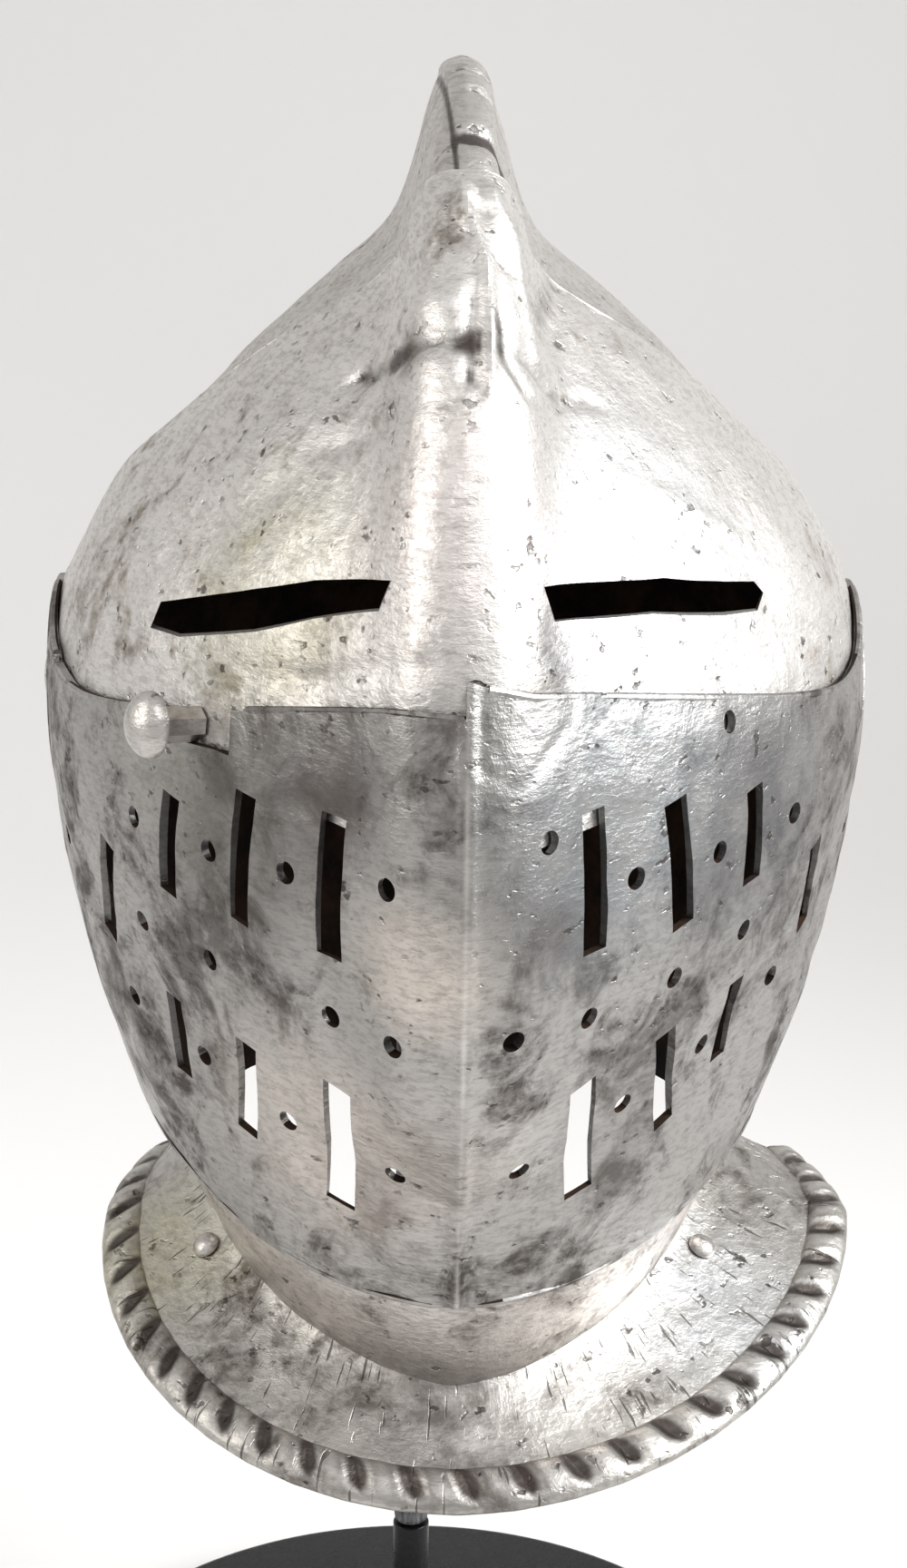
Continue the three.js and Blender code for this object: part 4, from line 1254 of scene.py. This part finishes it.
def gorget_spot(plan_deg, share):
    plan_at = np.array([float(plan_deg)])
    return gorget_points(plan_at, neckline_reach(plan_at, BEVOR["outer"] + FIT_GAP), share, 0.0)[0]


for side, word in ((-1, "left"), (1, "right")):
    rivet = lathe(f"pivot_{word}", pivot_outline, 40, frame_at((HELMET_SIDE, 0, HINGE_HEIGHT), (side, 0, 0)))
    dress(rivet, f"hinge_rivet_{word}", "skull_on_stand", "fittings_steel", materials["fittings"])
    at = GORGET_RIVET["plan_deg"] * side
    share = GORGET_RIVET["share"]
    round_it = gorget_spot(at + 1, share) - gorget_spot(at - 1, share)
    normal = unit(np.cross(round_it, gorget_spot(at, share + 0.1) - gorget_spot(at, share - 0.1)))
    normal = normal if normal[2] > 0 else -normal
    matrix = frame_at(gorget_spot(at, share), normal, (0, 1, 0))
    small = lathe(f"neck_rivet_{word}", small_outline, 28, matrix)
    dress(small, f"gorget_rivet_{word}", "bevor", "fittings_steel", materials["fittings"])

# The stand.
upright = frame_at((0, 0, 0), (0, 0, 1), (0, 1, 0))
r = STAND["base_radius"]
thick = STAND["base_thick"]
base = lathe("disc", eased([(0, 0), (r, 0), (r, thick), (0, thick)], STAND["bevel"]), 160, upright)
dress(base, "stand_base", "skull_on_stand", "stand_black", black)
foot = thick + FIT_GAP
r = STAND["post_radius"]
top = STAND["post_top"]
post = lathe("post", eased([(0, foot), (r, foot), (r, top), (0, top)], 0.5), 48, upright)
dress(post, "stand_post", "skull_on_stand", "stand_black", black)
foot = top + FIT_GAP
under = HINGE_HEIGHT + STAND["cap_under"]
top = HINGE_HEIGHT + STAND["cap_top"]
r = STAND["rod_radius"]
cap = STAND["cap_radius"]
rod_outline = eased([
    (0, foot), (r, foot), (r, under),
    (cap * 0.8, under + 1.5), (cap, top - 6), (cap * 0.8, top - 1.5), (0, top),
], 2)
rod_piece = lathe("rod", rod_outline, 40, upright)
dress(rod_piece, "stand_rod", "skull_on_stand", "rod_steel", rod)

# Floor and backdrop, one pale sweep.
SWEEP = {"front": -2600, "bend": 900, "top": 3200, "aside": 3000, "steps": 16}
bend = SWEEP["bend"]
sweep = [(SWEEP["front"], 0), (bend, 0)]
for k in range(1, SWEEP["steps"] + 1):
    turn = k / SWEEP["steps"] * math.pi / 2
    sweep.append((bend + bend * math.sin(turn), bend - bend * math.cos(turn)))
sweep.append((2 * bend, SWEEP["top"]))
floor_points = [(x, y, z) for y, z in sweep for x in (-SWEEP["aside"], SWEEP["aside"])]
floor_faces = [[2 * k, 2 * k + 1, 2 * k + 3, 2 * k + 2] for k in range(len(sweep) - 1)]
floor = mesh_object("floor", floor_points, floor_faces)
smooth(floor, 60)
floor.data.materials.append(plain("pale_paper", (0.88, 0.87, 0.86), 0.9))
floor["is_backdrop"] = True

# Camera: the photograph's place, a little above the hinge line and looking down.
CAMERA = {"away": 645, "above": 144, "yaw": 1.0, "down": 15.0, "roll": 0.6, "lens": 57.81}
yaw = math.radians(CAMERA["yaw"])
camera_data = bpy.data.cameras.new("camera")
camera = added("camera", camera_data)
camera_data.sensor_fit = "VERTICAL"
camera_data.sensor_height = 36
camera_data.lens = CAMERA["lens"]
camera_data.clip_start = 0.01
place = (
    (HELMET_SIDE - CAMERA["away"] * math.sin(yaw)) * MM,
    -CAMERA["away"] * math.cos(yaw) * MM,
    (HINGE_HEIGHT + CAMERA["above"]) * MM,
)
camera.matrix_world = (
    Matrix.Translation(place)
    @ Matrix.Rotation(-yaw, 4, "Z")
    @ Matrix.Rotation(math.radians(90 - CAMERA["down"]), 4, "X")
    @ Matrix.Rotation(math.radians(CAMERA["roll"]), 4, "Z")
)
bpy.context.scene.camera = camera


# Lights: an even studio with its key from the viewer's right.
WORLD = {"low": 0.5, "high": 0.68, "from": -0.1, "to": 0.8, "color": (1.0, 0.99, 0.98, 1)}


def soft_light(name, place_mm, aim_mm, size_mm, power, spread=180, color=(1, 1, 1)):
    data = bpy.data.lights.new(name, "AREA")
    data.shape = "RECTANGLE"
    data.size = size_mm[0] * MM
    data.size_y = size_mm[1] * MM
    data.energy = power
    data.spread = math.radians(spread)
    data.color = color
    back = unit(np.array(place_mm, float) - np.array(aim_mm, float))
    across = unit(np.cross((0, 1.0, 0), back))
    turned = np.eye(4)
    turned[:3, 0] = across
    turned[:3, 1] = np.cross(back, across)
    turned[:3, 2] = back
    turned[:3, 3] = np.array(place_mm, float) * MM
    added(name, data).matrix_world = Matrix(turned.tolist())


soft_light("right", (1150, -300, 900), (0, 0, 340), (900, 700), 5.5, 70, (0.97, 0.99, 1.0))
soft_light("front_top", (40, -900, 1450), (0, 0, 340), (700, 500), 0.5, 70, (1.0, 0.98, 0.97))
soft_light("left", (-1200, -300, 850), (0, 0, 340), (700, 700), 0.9, 70, (1.0, 0.975, 0.92))
soft_light("backdrop", (0, 900, 2100), (0, 1700, 500), (2000, 400), 3.2, 90)

bpy.context.scene.view_settings.view_transform = "Standard"
sky = Nodes("studio", "worlds", "Background")
climb = sky.ramp(sky.parts("Generated")[2], WORLD["from"], WORLD["to"], WORLD["low"], WORLD["high"])
bpy.context.scene.world = sky.finish(Strength=climb, Color=WORLD["color"])

boxes = {"cad": cad_box, "visual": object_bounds()}
boxes = {name: [list(map(float, corner)) for corner in box] for name, box in boxes.items()}
